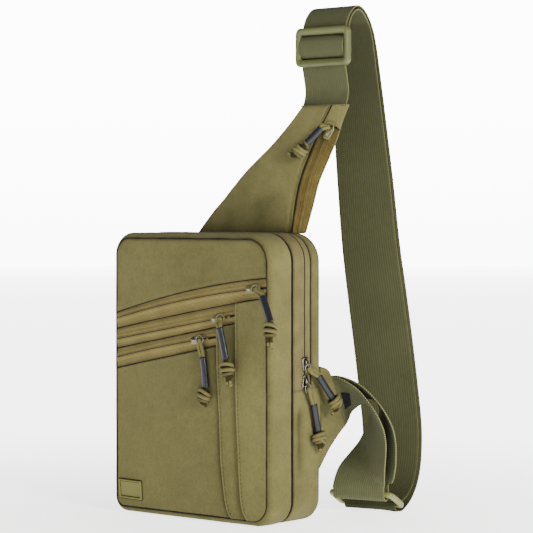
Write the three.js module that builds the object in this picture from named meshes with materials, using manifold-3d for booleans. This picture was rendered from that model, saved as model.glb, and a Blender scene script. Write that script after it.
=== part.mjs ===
// Sling bag: a small cross-body bag with three curved front zips, a two-way
// main zip, a tapering upper wing and a webbing shoulder strap held up in a loop.
// Millimetres, +Z up, -Y is the front face, origin on the floor under the bag.
import * as THREE from "three";
import { mergeVertices } from "three/addons/utils/BufferGeometryUtils.js";
import Module from "manifold-3d";

// ---------------------------------------------------------------- dimensions
const HALF_W = 91.5; // half width of the body over its walls
const TOP_Z = 247; // height of the body
const CORNER_R = 26; // corner radius of the body's outline
const CLOTH = 1.6; // lined and padded wall
const GAP = 0.4; // space between neighbouring sewn pieces
const Y_FRONT = -33.2; // front edge of the front gusset
const Y_MID = -5.0; // seam between the front and the main compartment
const Y_COIL = 10.0; // line of the main zip
const Y_REAR = 19.2; // seam between the main zip and the rear gusset
const Y_BACK = 33.2; // rear edge of the rear gusset
const ZIP_END_Z = 114; // height at which the main zip ends on each side
const SEAM_IN = 4.0; // how far the front and back seams lie inside the outline
const WEB_W = 50; // webbing width
const WEB_T = 1.3; // webbing thickness
const CORD_R = 1.2; // radius of the pulls' cord
const SLEEVE_R = 2.6; // radius of the shrink sleeves
const SLEEVE_WALL = 0.4;
// Centres of curvature of the three front zips, x, z and radius
const ZIP_ARC = [
  [186.4, -863.2, 1069.6],
  [-412.0, 2904.0, -2770.7],
  [275.1, -1467.2, 1644.0],
];
const ZIP_SLOPE_2 = [-85.2, 152.9, 0.1805]; // the middle zip: x, z of its start, and slope
const WING_LEAN = 0.354; // how far the upper wing's front leans back for each mm of height
const WING_Z = 247.7; // foot of the upper wing
const WING_TOP = 358; // end of the upper wing

const wasm = await Module();
wasm.setup();

// ---------------------------------------------------------------- helpers
const V = (x, y, z) => new THREE.Vector3(x, y, z);
const lerp = (a, b, t) => a + (b - a) * t;
function table(rows, k, v) {
  // linear interpolation in rows sorted by their first column
  if (v <= rows[0][0]) return rows[0][k];
  for (let i = 1; i < rows.length; i++)
    if (v <= rows[i][0]) return lerp(rows[i - 1][k], rows[i][k], (v - rows[i - 1][0]) / (rows[i][0] - rows[i - 1][0]));
  return rows[rows.length - 1][k];
}
function geometry(points, faces) {
  const g = new THREE.BufferGeometry();
  g.setAttribute("position", new THREE.BufferAttribute(new Float32Array(points.flatMap((p) => [p.x, p.y, p.z])), 3));
  g.setIndex(faces);
  return g;
}
function outward(g) {
  // turn the faces round if the closed mesh is inside out
  const p = g.attributes.position, ix = g.index.array;
  let v = 0;
  const a = V(), b = V(), c = V();
  for (let i = 0; i < ix.length; i += 3) {
    a.fromBufferAttribute(p, ix[i]); b.fromBufferAttribute(p, ix[i + 1]); c.fromBufferAttribute(p, ix[i + 2]);
    v += a.dot(b.cross(c));
  }
  if (v < 0) for (let i = 0; i < ix.length; i += 3) [ix[i + 1], ix[i + 2]] = [ix[i + 2], ix[i + 1]];
  g.computeVertexNormals();
  return g;
}
// closed loops with the same number of points, joined and capped (convex caps)
function loft(loops, closed = false) {
  const n = loops[0].length, m = loops.length, pts = loops.flat(), f = [];
  for (let i = 0; i < (closed ? m : m - 1); i++)
    for (let j = 0; j < n; j++) {
      const a = i * n + j, b = i * n + ((j + 1) % n), c = ((i + 1) % m) * n + ((j + 1) % n), d = ((i + 1) % m) * n + j;
      f.push(a, b, c, a, c, d);
    }
  if (!closed)
    for (let j = 1; j < n - 1; j++) {
      f.push(0, j + 1, j);
      f.push((m - 1) * n, (m - 1) * n + j, (m - 1) * n + j + 1);
    }
  return outward(geometry(pts, f));
}
// a strip of sheet between two rails
function strip(A, B, thick, side = 1) {
  return loft(
    A.map((a, i) => {
      const b = B[i], t = A[Math.min(i + 1, A.length - 1)].clone().sub(A[Math.max(i - 1, 0)])
        .add(B[Math.min(i + 1, B.length - 1)].clone().sub(B[Math.max(i - 1, 0)]));
      const n = b.clone().sub(a).cross(t).normalize().multiplyScalar(thick * side);
      return [a.clone(), b.clone(), b.clone().add(n), a.clone().add(n)];
    }),
  );
}
// webbing: centre line, width direction
function ribbon(C, w, width, thick, sheared = false) {
  return loft(
    C.map((c, i) => {
      const t = C[Math.min(i + 1, C.length - 1)].clone().sub(C[Math.max(i - 1, 0)]).normalize();
      const u = w[i].clone().normalize(), n = t.clone().cross(u).normalize();
      const q = sheared ? u.clone() : n.clone().cross(t).normalize(); // square to the run unless the strap is skewed
      const s = Math.sign(q.dot(u)) || 1;
      const h = q.multiplyScalar((s * width) / 2), k = n.multiplyScalar(thick / 2);
      return [c.clone().sub(h).sub(k), c.clone().add(h).sub(k), c.clone().add(h).add(k), c.clone().sub(h).add(k)];
    }),
  );
}
// smooth samples through points of any dimension (Catmull-Rom)
function smooth(rows, n) {
  const out = [], m = rows.length - 1;
  for (let i = 0; i <= n; i++) {
    const s = (i / n) * m, k = Math.min(Math.floor(s), m - 1), t = s - k;
    const p = [Math.max(k - 1, 0), k, k + 1, Math.min(k + 2, m)].map((q) => rows[q]);
    out.push(p[1].map((_, d) => {
      const [a, b, c, e] = p.map((r) => r[d]);
      return 0.5 * (2 * b + (c - a) * t + (2 * a - 5 * b + 4 * c - e) * t * t + (3 * b - a - 3 * c + e) * t * t * t);
    }));
  }
  return out;
}
// a round-section body along a path: rows of x, y, z, half-width, half-depth
function rod(rows, sides = 8, ref = V(0, 1, 0)) {
  const C = rows.map((r) => V(r[0], r[1], r[2]));
  return loft(
    C.map((c, i) => {
      const t = C[Math.min(i + 1, C.length - 1)].clone().sub(C[Math.max(i - 1, 0)]).normalize();
      const u = ref.clone().cross(t).normalize(), v = t.clone().cross(u).normalize();
      return Array.from({ length: sides }, (_, j) => {
        const a = (2 * Math.PI * (j + 0.5)) / sides;
        return c.clone().addScaledVector(u, rows[i][3] * Math.cos(a)).addScaledVector(v, rows[i][4] * Math.sin(a));
      });
    }),
  );
}
// a thin open tube
function pipe(a, b, r, wall, sides = 10) {
  const t = b.clone().sub(a).normalize(), u = V(0.3, 1, 0.1).cross(t).normalize(), v = t.clone().cross(u);
  const ring = (c, q) => Array.from({ length: sides }, (_, j) => {
    const g = (2 * Math.PI * j) / sides;
    return c.clone().addScaledVector(u, q * Math.cos(g)).addScaledVector(v, q * Math.sin(g));
  });
  return loft([ring(a, r), ring(b, r), ring(b, r - wall), ring(a, r - wall)], true);
}
// the body's rounded outline, starting on the right side at height zs
function outline(inset, zs, seg = 6) {
  const hw = HALF_W - inset, z0 = inset, z1 = TOP_Z - inset, r = Math.max(CORNER_R - inset, 4), P = [[hw, zs]];
  const arc = (cx, cz, a0) => { for (let i = 0; i <= seg; i++) { const a = a0 + ((Math.PI / 2) * i) / seg; P.push([cx + r * Math.cos(a), cz + r * Math.sin(a)]); } };
  arc(hw - r, z1 - r, 0);
  arc(-hw + r, z1 - r, Math.PI / 2);
  P.push([-hw, zs]);
  arc(-hw + r, z0 + r, Math.PI);
  arc(hw - r, z0 + r, 1.5 * Math.PI);
  return P;
}
// a wall running round the body: stations of y and inset; part is "all", "upper" or "lower"
function wall(stations, thick, part = "all", zs = ZIP_END_Z, extra = 0) {
  const at = (y, inset) => {
    let P = outline(inset, zs);
    if (part === "upper") P = P.slice(0, 16);
    if (part === "lower") P = [...P.slice(15), P[0]];
    return P.map(([x, z]) => V(x, y, z));
  };
  const loops = [...stations.map(([y, d]) => at(y, d + extra)), ...stations.slice().reverse().map(([y, d]) => at(y, d + extra + thick))];
  const n = loops[0].length, m = loops.length, f = [];
  for (let i = 0; i < m; i++)
    for (let j = 0; j < (part === "all" ? n : n - 1); j++) {
      const a = i * n + j, b = i * n + ((j + 1) % n), c = ((i + 1) % m) * n + ((j + 1) % n), d = ((i + 1) % m) * n + j;
      f.push(a, b, c, a, c, d);
    }
  if (part !== "all")
    for (const j of [0, n - 1])
      for (let i = 0; i < stations.length - 1; i++) {
        const a = i * n + j, b = (i + 1) * n + j, c = (m - 2 - i) * n + j, d = (m - 1 - i) * n + j;
        if (j === 0) f.push(a, b, c, a, c, d);
        else f.push(a, c, b, a, d, c);
      }
  return outward(geometry(loops.flat(), f));
}
// a flat sheet in x and z, from y0 to y1
function sheet(poly, y0, y1) {
  const s = new THREE.Shape(poly.map(([x, z]) => new THREE.Vector2(x, z)));
  const g = new THREE.ExtrudeGeometry(s, { depth: y1 - y0, bevelEnabled: false, curveSegments: 6 });
  // shape x, y, depth become x, z, y
  g.applyMatrix4(new THREE.Matrix4().makeBasis(V(1, 0, 0), V(0, 0, 1), V(0, -1, 0)));
  g.translate(0, y1, 0);
  return g;
}
function solid(g) {
  const q = (g.index ? g.toNonIndexed() : g.clone());
  for (const k of ["normal", "uv"]) q.deleteAttribute(k);
  const m = mergeVertices(q, 1e-3);
  return new wasm.Manifold(new wasm.Mesh({ numProp: 3, vertProperties: new Float32Array(m.attributes.position.array), triVerts: new Uint32Array(m.index.array) }));
}
function fromSolid(s) {
  const m = s.getMesh(), g = new THREE.BufferGeometry();
  g.setAttribute("position", new THREE.BufferAttribute(new Float32Array(m.vertProperties), 3));
  g.setIndex(new THREE.BufferAttribute(new Uint32Array(m.triVerts), 1));
  g.computeVertexNormals();
  return g;
}
const both = (a, b) => fromSolid(solid(a).intersect(solid(b)));
const cut = (a, ...b) => fromSolid(b.reduce((s, q) => s.subtract(solid(q)), solid(a)));
function block(x0, x1, y0, y1, z0, z1) {
  const g = new THREE.BoxGeometry(x1 - x0, y1 - y0, z1 - z0);
  g.translate((x0 + x1) / 2, (y0 + y1) / 2, (z0 + z1) / 2);
  return g;
}
function roundBlock(hx, hz, y0, y1, r, cx = 0, cz = 0, seg = 4) {
  const P = [];
  const arc = (x, z, a0) => { for (let i = 0; i <= seg; i++) { const a = a0 + ((Math.PI / 2) * i) / seg; P.push([cx + x + r * Math.cos(a), cz + z + r * Math.sin(a)]); } };
  arc(hx - r, hz - r, 0); arc(-hx + r, hz - r, Math.PI / 2); arc(-hx + r, -hz + r, Math.PI); arc(hx - r, -hz + r, 1.5 * Math.PI);
  return sheet(P, y0, y1);
}

// ---------------------------------------------------------------- materials
const M = (color, roughness, metalness = 0) => new THREE.MeshStandardMaterial({ color, roughness, metalness });
const CLOTH_M = () => M(0x7f7a52, 0.85);
const TAPE_M = () => M(0x7a6740, 0.85);
const TAN_M = () => M(0x8a7c58, 0.85);
const WEB_M = () => M(0x5b5e3d, 0.8);
const PLASTIC_M = () => M(0x7c7d42, 0.5);
const METAL_M = () => M(0xa69a6c, 0.35, 0.9);
const SLEEVE_M = () => M(0x3c3e48, 0.4);
const root = new THREE.Group();
function add(name, g, material, parent = root) {
  const m = new THREE.Mesh(g, material);
  m.name = name;
  parent.add(m);
  return m;
}

// ---------------------------------------------------------------- body walls
add("front_gusset", wall([[Y_FRONT, SEAM_IN], [-30, 1.3], [-24, 0], [-12, 0], [Y_MID - 0.9, 1.2]], CLOTH), CLOTH_M());
add("compartment_divider", sheet(outline(2.2, ZIP_END_Z), Y_MID - 0.5, Y_MID + 0.3), CLOTH_M());
const MAIN_A = [[Y_MID + 0.7, 1.2], [-0.5, 0], [Y_COIL - 0.15, 0]];
const MAIN_B = [[Y_COIL + 0.15, 0], [Y_REAR - 0.2, 0]];
add("main_zip_tape_front", wall(MAIN_A, 1.0, "upper", ZIP_END_Z + 0.2), TAN_M());
add("main_zip_tape_rear", wall(MAIN_B, 1.0, "upper", ZIP_END_Z + 0.2), TAN_M());
add("main_zip_coil", wall([[Y_COIL - 2.2, 0], [Y_COIL + 2.2, 0]], 1.5, "upper", ZIP_END_Z + 0.2, 1.4), TAN_M());
add("main_gusset", wall([[Y_MID + 0.7, 1.2], [-0.5, 0], [Y_REAR - 0.2, 0]], CLOTH, "lower", ZIP_END_Z - 0.2), CLOTH_M());
add("rear_gusset", wall([[Y_REAR + 0.2, 0], [24, 0], [30, 1.5], [Y_BACK, SEAM_IN]], CLOTH), CLOTH_M());
add("back_panel", sheet(outline(SEAM_IN + 0.3, ZIP_END_Z), Y_BACK + 0.3, Y_BACK + 1.9), CLOTH_M());
add("back_mesh_pad", loft([
  outline(13, ZIP_END_Z).map(([x, z]) => V(x, Y_BACK + 2.3, z)),
  outline(12, ZIP_END_Z).map(([x, z]) => V(x, Y_BACK + 4.5, z)),
  outline(16, ZIP_END_Z).map(([x, z]) => V(x, Y_BACK + 7.5, z)),
]), M(0x4d4f36, 0.9));

// ---------------------------------------------------------------- front face
const face = () => sheet(outline(SEAM_IN + 0.3, ZIP_END_Z), -60, -20);
const arcZ = (x, k) => k === 1 ? ZIP_SLOPE_2[1] + (x - ZIP_SLOPE_2[0]) * ZIP_SLOPE_2[2]
  : ZIP_ARC[k][1] + Math.sqrt(ZIP_ARC[k][2] ** 2 - (x - ZIP_ARC[k][0]) ** 2);
const X = (x0, x1, n = 12) => Array.from({ length: n + 1 }, (_, i) => lerp(x0, x1, i / n));
// edges of the zip bands, x then z, from left to right
const EDGE = [
  [[-95, 174.1], [-86.7, 176.6], [-54.1, 185.4], [-16.2, 194.3], [20.7, 201.4], [56.6, 206.9], [87.4, 210.2], [95, 210.8]],
  [[-95, 159.8], [-86.2, 161.6], [-54.1, 168.2], [-16.2, 175.4], [20.7, 182.1], [38.8, 185.3], [76.1, 191.4], [95, 194.0]],
  [[-95, 142.3], [-84.4, 144.4], [-63.8, 148.4], [-16.2, 157.4], [29.7, 166.3], [51.4, 170.6], [60, 172.3]],
  [[-95, 124.9], [-85.3, 127.0], [-54.2, 133.5], [-16.3, 141.0], [9.7, 146.3], [29.7, 150.6], [45, 153.8]],
];
const edgeZ = (k, x) => table(EDGE[k], 1, x);
// edges of the two overlapping side strips, z then x, from the top down
const LAYER3_X = [[-5, 71], [6.1, 65.6], [25, 59.1], [67.2, 56.3], [109.5, 54.5], [145.5, 53.9], [200, 53.9]];
const LAYER2_X = [[-5, 52.5], [5.8, 47.1], [23.5, 40.4], [51.6, 36.8], [93.9, 34.8], [131.4, 32.5], [180, 31.4]];
const l3 = (z) => table(LAYER3_X, 1, z), l2 = (z) => table(LAYER2_X, 1, z);
const Zs = (z0, z1, n = 8) => Array.from({ length: n + 1 }, (_, i) => lerp(z0, z1, i / n));
const g2 = 0.2;
add("front_panel_upper", both(sheet([...X(-95, 95).map((x) => [x, edgeZ(0, x) + g2]), [95, 260], [-95, 260]], -34.7, -33.5), face()), CLOTH_M());
add("zip_tape_front_1", both(sheet([...X(-95, 95).map((x) => [x, edgeZ(1, x) + g2]), ...X(95, -95).map((x) => [x, edgeZ(0, x) - g2])], -34.3, -33.5), face()), TAPE_M());
add("zip_tape_front_2", both(sheet([...X(-95, 53.5).map((x) => [x, edgeZ(2, x) + g2]), ...X(53.5, -95).map((x) => [x, edgeZ(1, x) - g2])], -34.3, -33.5), face()), TAPE_M());
add("zip_tape_front_3", both(sheet([...X(-95, 31.0).map((x) => [x, edgeZ(3, x) + g2]), ...X(31.0, -95).map((x) => [x, edgeZ(2, x) - g2])], -34.3, -33.5), face()), TAPE_M());
add("pocket_panel_left", both(sheet([[-95, -5], ...Zs(-5, 150).map((z) => [l2(z) - g2 * 2, z]).filter(([x, z]) => z < edgeZ(3, x) - g2), ...X(31.2, -95).map((x) => [x, edgeZ(3, x) - g2])], -34.7, -33.5), face()), CLOTH_M());
add("pocket_panel_middle", both(sheet([...Zs(-5, edgeZ(2, 53.5) - g2).map((z) => [l3(z) - g2 * 2, z]), ...X(53.5, 31.4, 3).map((x) => [x, edgeZ(2, x) - g2]).slice(1), ...Zs(160, -5).map((z) => [l2(z), z])], -35.0, -33.9), face()), CLOTH_M());
add("pocket_panel_right", both(sheet([[95, -5], ...X(95, 53.9).map((x) => [x, edgeZ(1, x) - g2]), ...Zs(184, -5).map((z) => [l3(z), z])], -35.4, -34.2), face()), CLOTH_M());
const coilRows = (k, x0, x1) => X(x0, x1, 14).map((x) => [x, arcZ(x, k)]);
for (const [i, x1] of [[0, 84], [1, 50], [2, 28]]) {
  const R = coilRows(i, -84, x1);
  add(`zip_coil_front_${i + 1}`, strip(R.map(([x, z]) => V(x, -33.1, z - 2.1)), R.map(([x, z]) => V(x, -33.1, z + 2.1)), 1.2, 1), TAPE_M());
}
add("pocket_lining", sheet(outline(7.5, ZIP_END_Z), -30.4, -29.8), CLOTH_M());
{
  // blank moulded patch with a raised border, set in the lower left corner
  const s = new THREE.Shape([[-83, 28.9], [-81.6, 12.5], [-54.6, 12.0], [-56, 28.4]].map(([x, z]) => new THREE.Vector2(x, z)));
  const q = sheet(s.getPoints().map((p) => [p.x, p.y]), -36.4, -35.0);
  add("rubber_patch", cut(q, sheet([[-81.4, 27.2], [-80.2, 13.9], [-56.2, 13.6], [-57.5, 26.8]], -37.5, -36.0)), PLASTIC_M());
}

// ---------------------------------------------------------------- upper wing
const leanY = (z) => 15 + (z - 247) * WING_LEAN;
const backY = (z) => 33.6 + (z - 247.5) * 0.243;
const WING_L = [[244, -38], [262, -26.5], [280.3, -12.5], [304, 6], [324, 26.5], [342, 40.5], [362, 54.5]];
const WING_R = [[244, 72.5], [265, 70], [284.1, 68.7], [299.7, 69.7], [314.4, 72.7], [337.8, 78.8], [357.2, 85.5], [362, 87]];
const WING_B = [[244, 73], [271.2, 77.3], [290, 79.6], [301.4, 82.5], [310, 87], [328, 92], [346.4, 96], [356, 99], [362, 100]];
const SL = Math.hypot(1, WING_LEAN);
function leaning(poly, y, t0, t1, lean) {
  // poly in x and z, laid on the plane y(z), from t0 to t1 behind it
  const k = Math.hypot(1, lean), s = new THREE.Shape(poly.map(([x, z]) => new THREE.Vector2(x, (z - WING_Z) * k)));
  const g = new THREE.ExtrudeGeometry(s, { depth: t1 - t0, bevelEnabled: false });
  const S = V(0, lean / k, 1 / k), N = V(1, 0, 0).cross(S);
  g.applyMatrix4(new THREE.Matrix4().makeBasis(V(1, 0, 0), S, N).setPosition(V(0, y(WING_Z), WING_Z).addScaledVector(N, -t1)));
  return g;
}
const wz = Zs(WING_Z + 0.3, WING_TOP, 10);
add("wing_front_panel", leaning([...wz.map((z) => [table(WING_R, 1, z), z]), ...wz.slice().reverse().map((z) => [table(WING_L, 1, z), z])], leanY, 0, 1.5, WING_LEAN), CLOTH_M());
add("wing_back_panel", leaning([...wz.map((z) => [table(WING_B, 1, z) - 0.5, z]), ...wz.slice().reverse().map((z) => [table(WING_L, 1, z), z])], backY, 0, 1.4, 0.243), CLOTH_M());
{
  const rail = (z, f, tab, off) => V(table(tab, 1, z) + off, f(z), z);
  const low = Zs(WING_Z + 0.6, 346, 9);
  add("wing_left_gusset", strip(low.map((z) => rail(z, (q) => leanY(q) + 2.1, WING_L, 0.2)), low.map((z) => rail(z, (q) => backY(q) - 0.5, WING_L, 0.2)), 1.4, -1), CLOTH_M());
  const side = (z, u) => {
    // point across the wing's right wall, u from 0 at the front edge to 1 at the back edge
    const F = V(table(WING_R, 1, z), leanY(z), z), B = V(table(WING_B, 1, z), backY(z), z), d = B.clone().sub(F), L = d.length();
    return F.addScaledVector(d, (2.2 + u * (L - 2.9)) / L);
  };
  const zt = Zs(WING_Z + 0.6, 337.4, 9), zg = Zs(338, WING_TOP, 3);
  add("wing_zip_tape", strip(zt.map((z) => side(z, 0)), zt.map((z) => side(z, 1)), 1.0, 1), TAPE_M());
  add("wing_zip_garage", strip(zg.map((z) => side(z, 0)), zg.map((z) => side(z, 1)), 1.0, 1), CLOTH_M());
}
{
  const zt = Zs(252, 334, 8), mid = (z, u) => {
    const F = V(table(WING_R, 1, z), leanY(z), z), B = V(table(WING_B, 1, z), backY(z), z), d = B.clone().sub(F).normalize();
    const n = V(d.y, -d.x, 0);
    return F.add(B).multiplyScalar(0.5).addScaledVector(d, u).addScaledVector(n, -1.5);
  };
  add("wing_zip_coil", strip(zt.map((z) => mid(z, -2)), zt.map((z) => mid(z, 2)), 1.2, 1), TAPE_M());
}

// ---------------------------------------------------------------- lower wing
const LOWER_WING = [[33.9, 131], [45.5, 119], [64.5, 81], [48, 63], [33.9, 45]]; // y, z
{
  const s = new THREE.Shape(LOWER_WING.map(([y, z]) => new THREE.Vector2(y, z)));
  const g = new THREE.ExtrudeGeometry(s, { depth: 2.6, bevelEnabled: false });
  g.applyMatrix4(new THREE.Matrix4().makeBasis(V(0, 1, 0), V(0, 0, 1), V(1, 0, 0)));
  g.translate(89.2, 0, 0);
  add("strap_wing_panel", g, CLOTH_M());
}

// ---------------------------------------------------------------- webbing
const RING = { x: 84.6, y: 106.5, z: 10.9, turn: 12, tilt: -26, half_x: 31.5, half_y: 15.3, bar: 4.8, rail: 4.2, thick: 4.4 };
const ringRot = new THREE.Matrix4().makeRotationFromEuler(new THREE.Euler(THREE.MathUtils.degToRad(RING.tilt), 0, THREE.MathUtils.degToRad(RING.turn), "ZYX"));
const barAt = (side) => V(0, side * (RING.half_y - RING.bar / 2), 0).applyMatrix4(ringRot).add(V(RING.x, RING.y, RING.z));
const ringX = V(1, 0, 0).applyMatrix4(ringRot);
// long strap, outer run from the upper wing over the top and down to the ring: x, y, z, turn of the width about Z
const LONG = [
  [75, 58.6, 358.6, -2.5], [75, 60.6, 364, -2.5], [75, 61.6, 371, -2.5], [75, 59.6, 382, -2.5], [75, 57.4, 392, -2.5], [75, 57, 405, -2.5], [75, 57.3, 418, -2.5], [75, 59, 428, -2.5],
  [75, 63.5, 436.5, -2.5], [75, 69.5, 442, -2.5], [75, 76, 444, -2.5], [75, 83, 441.5, -2.5], [75, 90, 434.5, -1.8], [75, 96.4, 423, -1], [75.3, 100.3, 408, 0],
  [75.6, 103.6, 390, 1], [76, 107, 368, 3], [76.2, 111, 335, 10], [77, 117.5, 286, 18], [78, 124, 235, 24], [79.5, 131.5, 190, 31], [81, 139, 145, 36], [82, 145.5, 105, 37],
  [82.8, 149.8, 72, 37], [83, 149.5, 48, 36.5], [83.3, 146, 32, 35], [83.2, 140.2, 18.5, 27], [82.6, 133.6, 8.5, 18], [82.3, 127.4, 2.5, 13], [82.2, 121.8, 0.72, 12], [82.2, 117.8, 0.66, 12],
];
const dirW = (deg) => V(Math.cos((deg * Math.PI) / 180), Math.sin((deg * Math.PI) / 180), 0);
{
  const R = barAt(1), H = V(0, 0, 1).cross(ringX).normalize();
  const turn = [[-3.2, -3.9], [-4.9, -1.2], [-4.7, 2.2], [-2.6, 4.9], [1.2, 7.0]].map(([h, z]) => {
    const c = R.clone().addScaledVector(H, h).add(V(0, 0, z));
    return [c.x, c.y, c.z, RING.turn];
  });
  // inner run: inside the outer one by a gap and a little to its left, ending behind the adjuster
  const inner = [];
  for (let i = 27; i >= 5; i--) {
    const r = LONG[i], t = V(...LONG[i + 1].slice(0, 3)).sub(V(...LONG[i - 1].slice(0, 3))).normalize(), w = dirW(r[3]), n = t.clone().cross(w).normalize();
    const up = i < 12;
    const gap = up ? table([[5, 4.4], [8, 3.2], [12, 3.0]], 1, i) : table([[8, 8.8], [18, 6.6], [32, 5.2], [48, 4.6], [105, 4.2], [235, 3.4], [335, 2.8], [390, 2.7], [435, 3.0]], 1, r[2]);
    const off = up ? 0 : table([[8, 0.4], [18, 2.4], [32, 3.4], [105, 3.4], [390, 1.5], [430, 0]], 1, r[2]);
    const c = V(r[0], r[1], r[2]).addScaledVector(n, gap).addScaledVector(w, -off);
    inner.push([c.x, c.y, c.z, r[3]]);
  }
  const s = smooth([...LONG, ...turn, ...inner], 150);
  add("webbing_long", ribbon(s.map((r) => V(r[0], r[1], r[2])), s.map((r) => dirW(r[3])), WEB_W, WEB_T), WEB_M());
}
// short strap, front layer from the lower wing down to the ring: centre x, y, z and width direction
const SHORT = [
  [92.4, 56.2, 101.2, 0.06, -0.46, 0.88], [94.6, 60.2, 103.6, 0.22, -0.60, 0.76], [98.6, 63.2, 104.6, 0.42, -0.68, 0.60], [104.5, 66.4, 103.8, 0.56, -0.72, 0.40],
  [109.8, 69.4, 101.2, 0.64, -0.74, 0.18], [115.2, 74.0, 94.7, 0.70, -0.71, -0.06], [117.2, 78.6, 84.8, 0.74, -0.63, -0.22], [115.4, 81.8, 75.6, 0.76, -0.53, -0.37],
  [111.7, 84.6, 66.5, 0.77, -0.46, -0.45], [107.4, 87.4, 57.3, 0.76, -0.38, -0.50], [102.6, 89.8, 48.8, 0.79, -0.29, -0.50], [96.8, 90.8, 40.5, 0.85, -0.13, -0.42],
  [90.8, 91.0, 32.7, 0.93, 0.08, -0.24],
];
{
  const B = barAt(-1), rr = 5.0, n = SHORT.length;
  const back = V(-0.15, 0.93, 0.33).projectOnPlane(ringX).normalize(), down = back.clone().cross(ringX).normalize();
  if (down.z > 0) down.negate();
  const C = SHORT.map((r) => V(r[0], r[1], r[2])), W = SHORT.map((r) => V(r[3], r[4], r[5]).normalize());
  const wrap = [0, 1, 2, 3, 4, 5, 6].map((k) => { const a = (Math.PI * k) / 6; return B.clone().addScaledVector(back, -rr * Math.cos(a)).addScaledVector(down, rr * Math.sin(a)); });
  const rear = C.map((c, i) => {
    const t = (C[i + 1] || wrap[0]).clone().sub(C[Math.max(i - 1, 0)]).normalize();
    return c.clone().addScaledVector(W[i].clone().cross(t).normalize(), table([[0, 2.2], [2, 3.6], [6, 8], [9, 10.3], [n - 1, 10.3]], 1, i));
  });
  const rise = V(0, -0.03, 1), lift = (c, h) => c.clone().addScaledVector(rise, h);
  const rows = [...C, lift(wrap[0], 9), lift(wrap[0], 4.5), ...wrap, lift(wrap[6], 4), lift(wrap[6], 8), ...rear.reverse()];
  const ww = [...W, ringX, ringX, ...wrap.map(() => ringX), ringX, ringX, ...W.slice().reverse()];
  const s = smooth(rows.map((c, i) => [c.x, c.y, c.z, ww[i].x, ww[i].y, ww[i].z]), 84);
  add("webbing_lower_loop", ribbon(s.map((r) => V(r[0], r[1], r[2])), s.map((r) => V(r[3], r[4], r[5])), WEB_W, WEB_T, true), WEB_M());
}

// ---------------------------------------------------------------- strap hardware
const GLIDE_Z = 408.5, GLIDE_Y = 56.0, GLIDE_X = 75;
{
  const g = new THREE.Group();
  g.rotation.z = THREE.MathUtils.degToRad(-2.5);
  g.position.set(GLIDE_X, 0, GLIDE_Z);
  root.add(g);
  const outer = roundBlock(30, 17, GLIDE_Y - 6, GLIDE_Y - 0.4, 5.5);
  const frame = cut(outer, roundBlock(25.8, 11, GLIDE_Y - 8, GLIDE_Y + 2, 1.6));
  const bar = block(-26.5, 26.5, GLIDE_Y - 3.6, GLIDE_Y - 0.9, -3.6, 3.6);
  add("tri_glide", fromSolid(solid(frame).add(solid(bar))), PLASTIC_M(), g);
  // the strap's run over the centre bar
  const P = [[-9.2, -0.55], [-8.6, -1.8], [-7.2, -3.4], [-5, -4.75], [-2, -5.3], [2, -5.3], [5, -4.75], [7.2, -3.4], [8.6, -1.8], [9.2, -0.55]];
  const C = P.map(([z, y]) => V(0, GLIDE_Y + y, z));
  add("webbing_adjuster_turn", ribbon(C, C.map(() => V(1, 0, 0)), WEB_W, WEB_T), WEB_M(), g);
}
{
  const g = new THREE.Group();
  g.position.set(RING.x, RING.y, RING.z);
  g.setRotationFromMatrix(ringRot);
  root.add(g);
  const flat = (q) => q.applyMatrix4(new THREE.Matrix4().makeRotationX(-Math.PI / 2));
  const { half_x: hx, half_y: hy, bar, rail, thick } = RING;
  add("rect_ring", flat(cut(roundBlock(hx, hy, -thick / 2, thick / 2, 5), roundBlock(hx - rail, hy - bar, -5, 5, 0.8))), PLASTIC_M(), g);
}
{
  // blank woven label on the short strap beside its seam
  const q = smooth(SHORT, 48).slice(3, 9), C = q.map((r) => V(r[0], r[1], r[2])), W = q.map((r) => V(r[3], r[4], r[5]).normalize());
  const L = C.map((c, i) => {
    const t = C[Math.min(i + 1, C.length - 1)].clone().sub(C[Math.max(i - 1, 0)]).normalize();
    return c.clone().addScaledVector(W[i].clone().cross(t).normalize(), -1.35).addScaledVector(W[i], -2.0);
  });
  add("strap_label", ribbon(L, W, 19, 0.5, true), M(0x16171c, 0.7));
}

// ---------------------------------------------------------------- zip sliders and pulls
// A slider lies on its tape: u is the way it closes, n stands out of the tape.
function slider(name, at, u, n) {
  const s = u.clone().normalize(), o = n.clone().normalize(), q = o.clone().cross(s).normalize();
  // outline seen from outside: a shield that narrows behind, with a crown bridge on top
  const half = [[-7.2, 2.6], [-4.5, 2.9], [1.5, 3.9], [4.6, 3.3], [5.2, 1.4]];
  const loop = [...half, ...half.slice().reverse().map(([a, b]) => [a, -b])];
  const lay = (h, k) => loop.map(([a, b]) => at.clone().addScaledVector(s, a * k).addScaledVector(q, b * k).addScaledVector(o, h));
  add(`slider_body_${name}`, loft([lay(0.3, 1), lay(2.2, 1), lay(3.0, 0.82)]), METAL_M());
}
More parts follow.
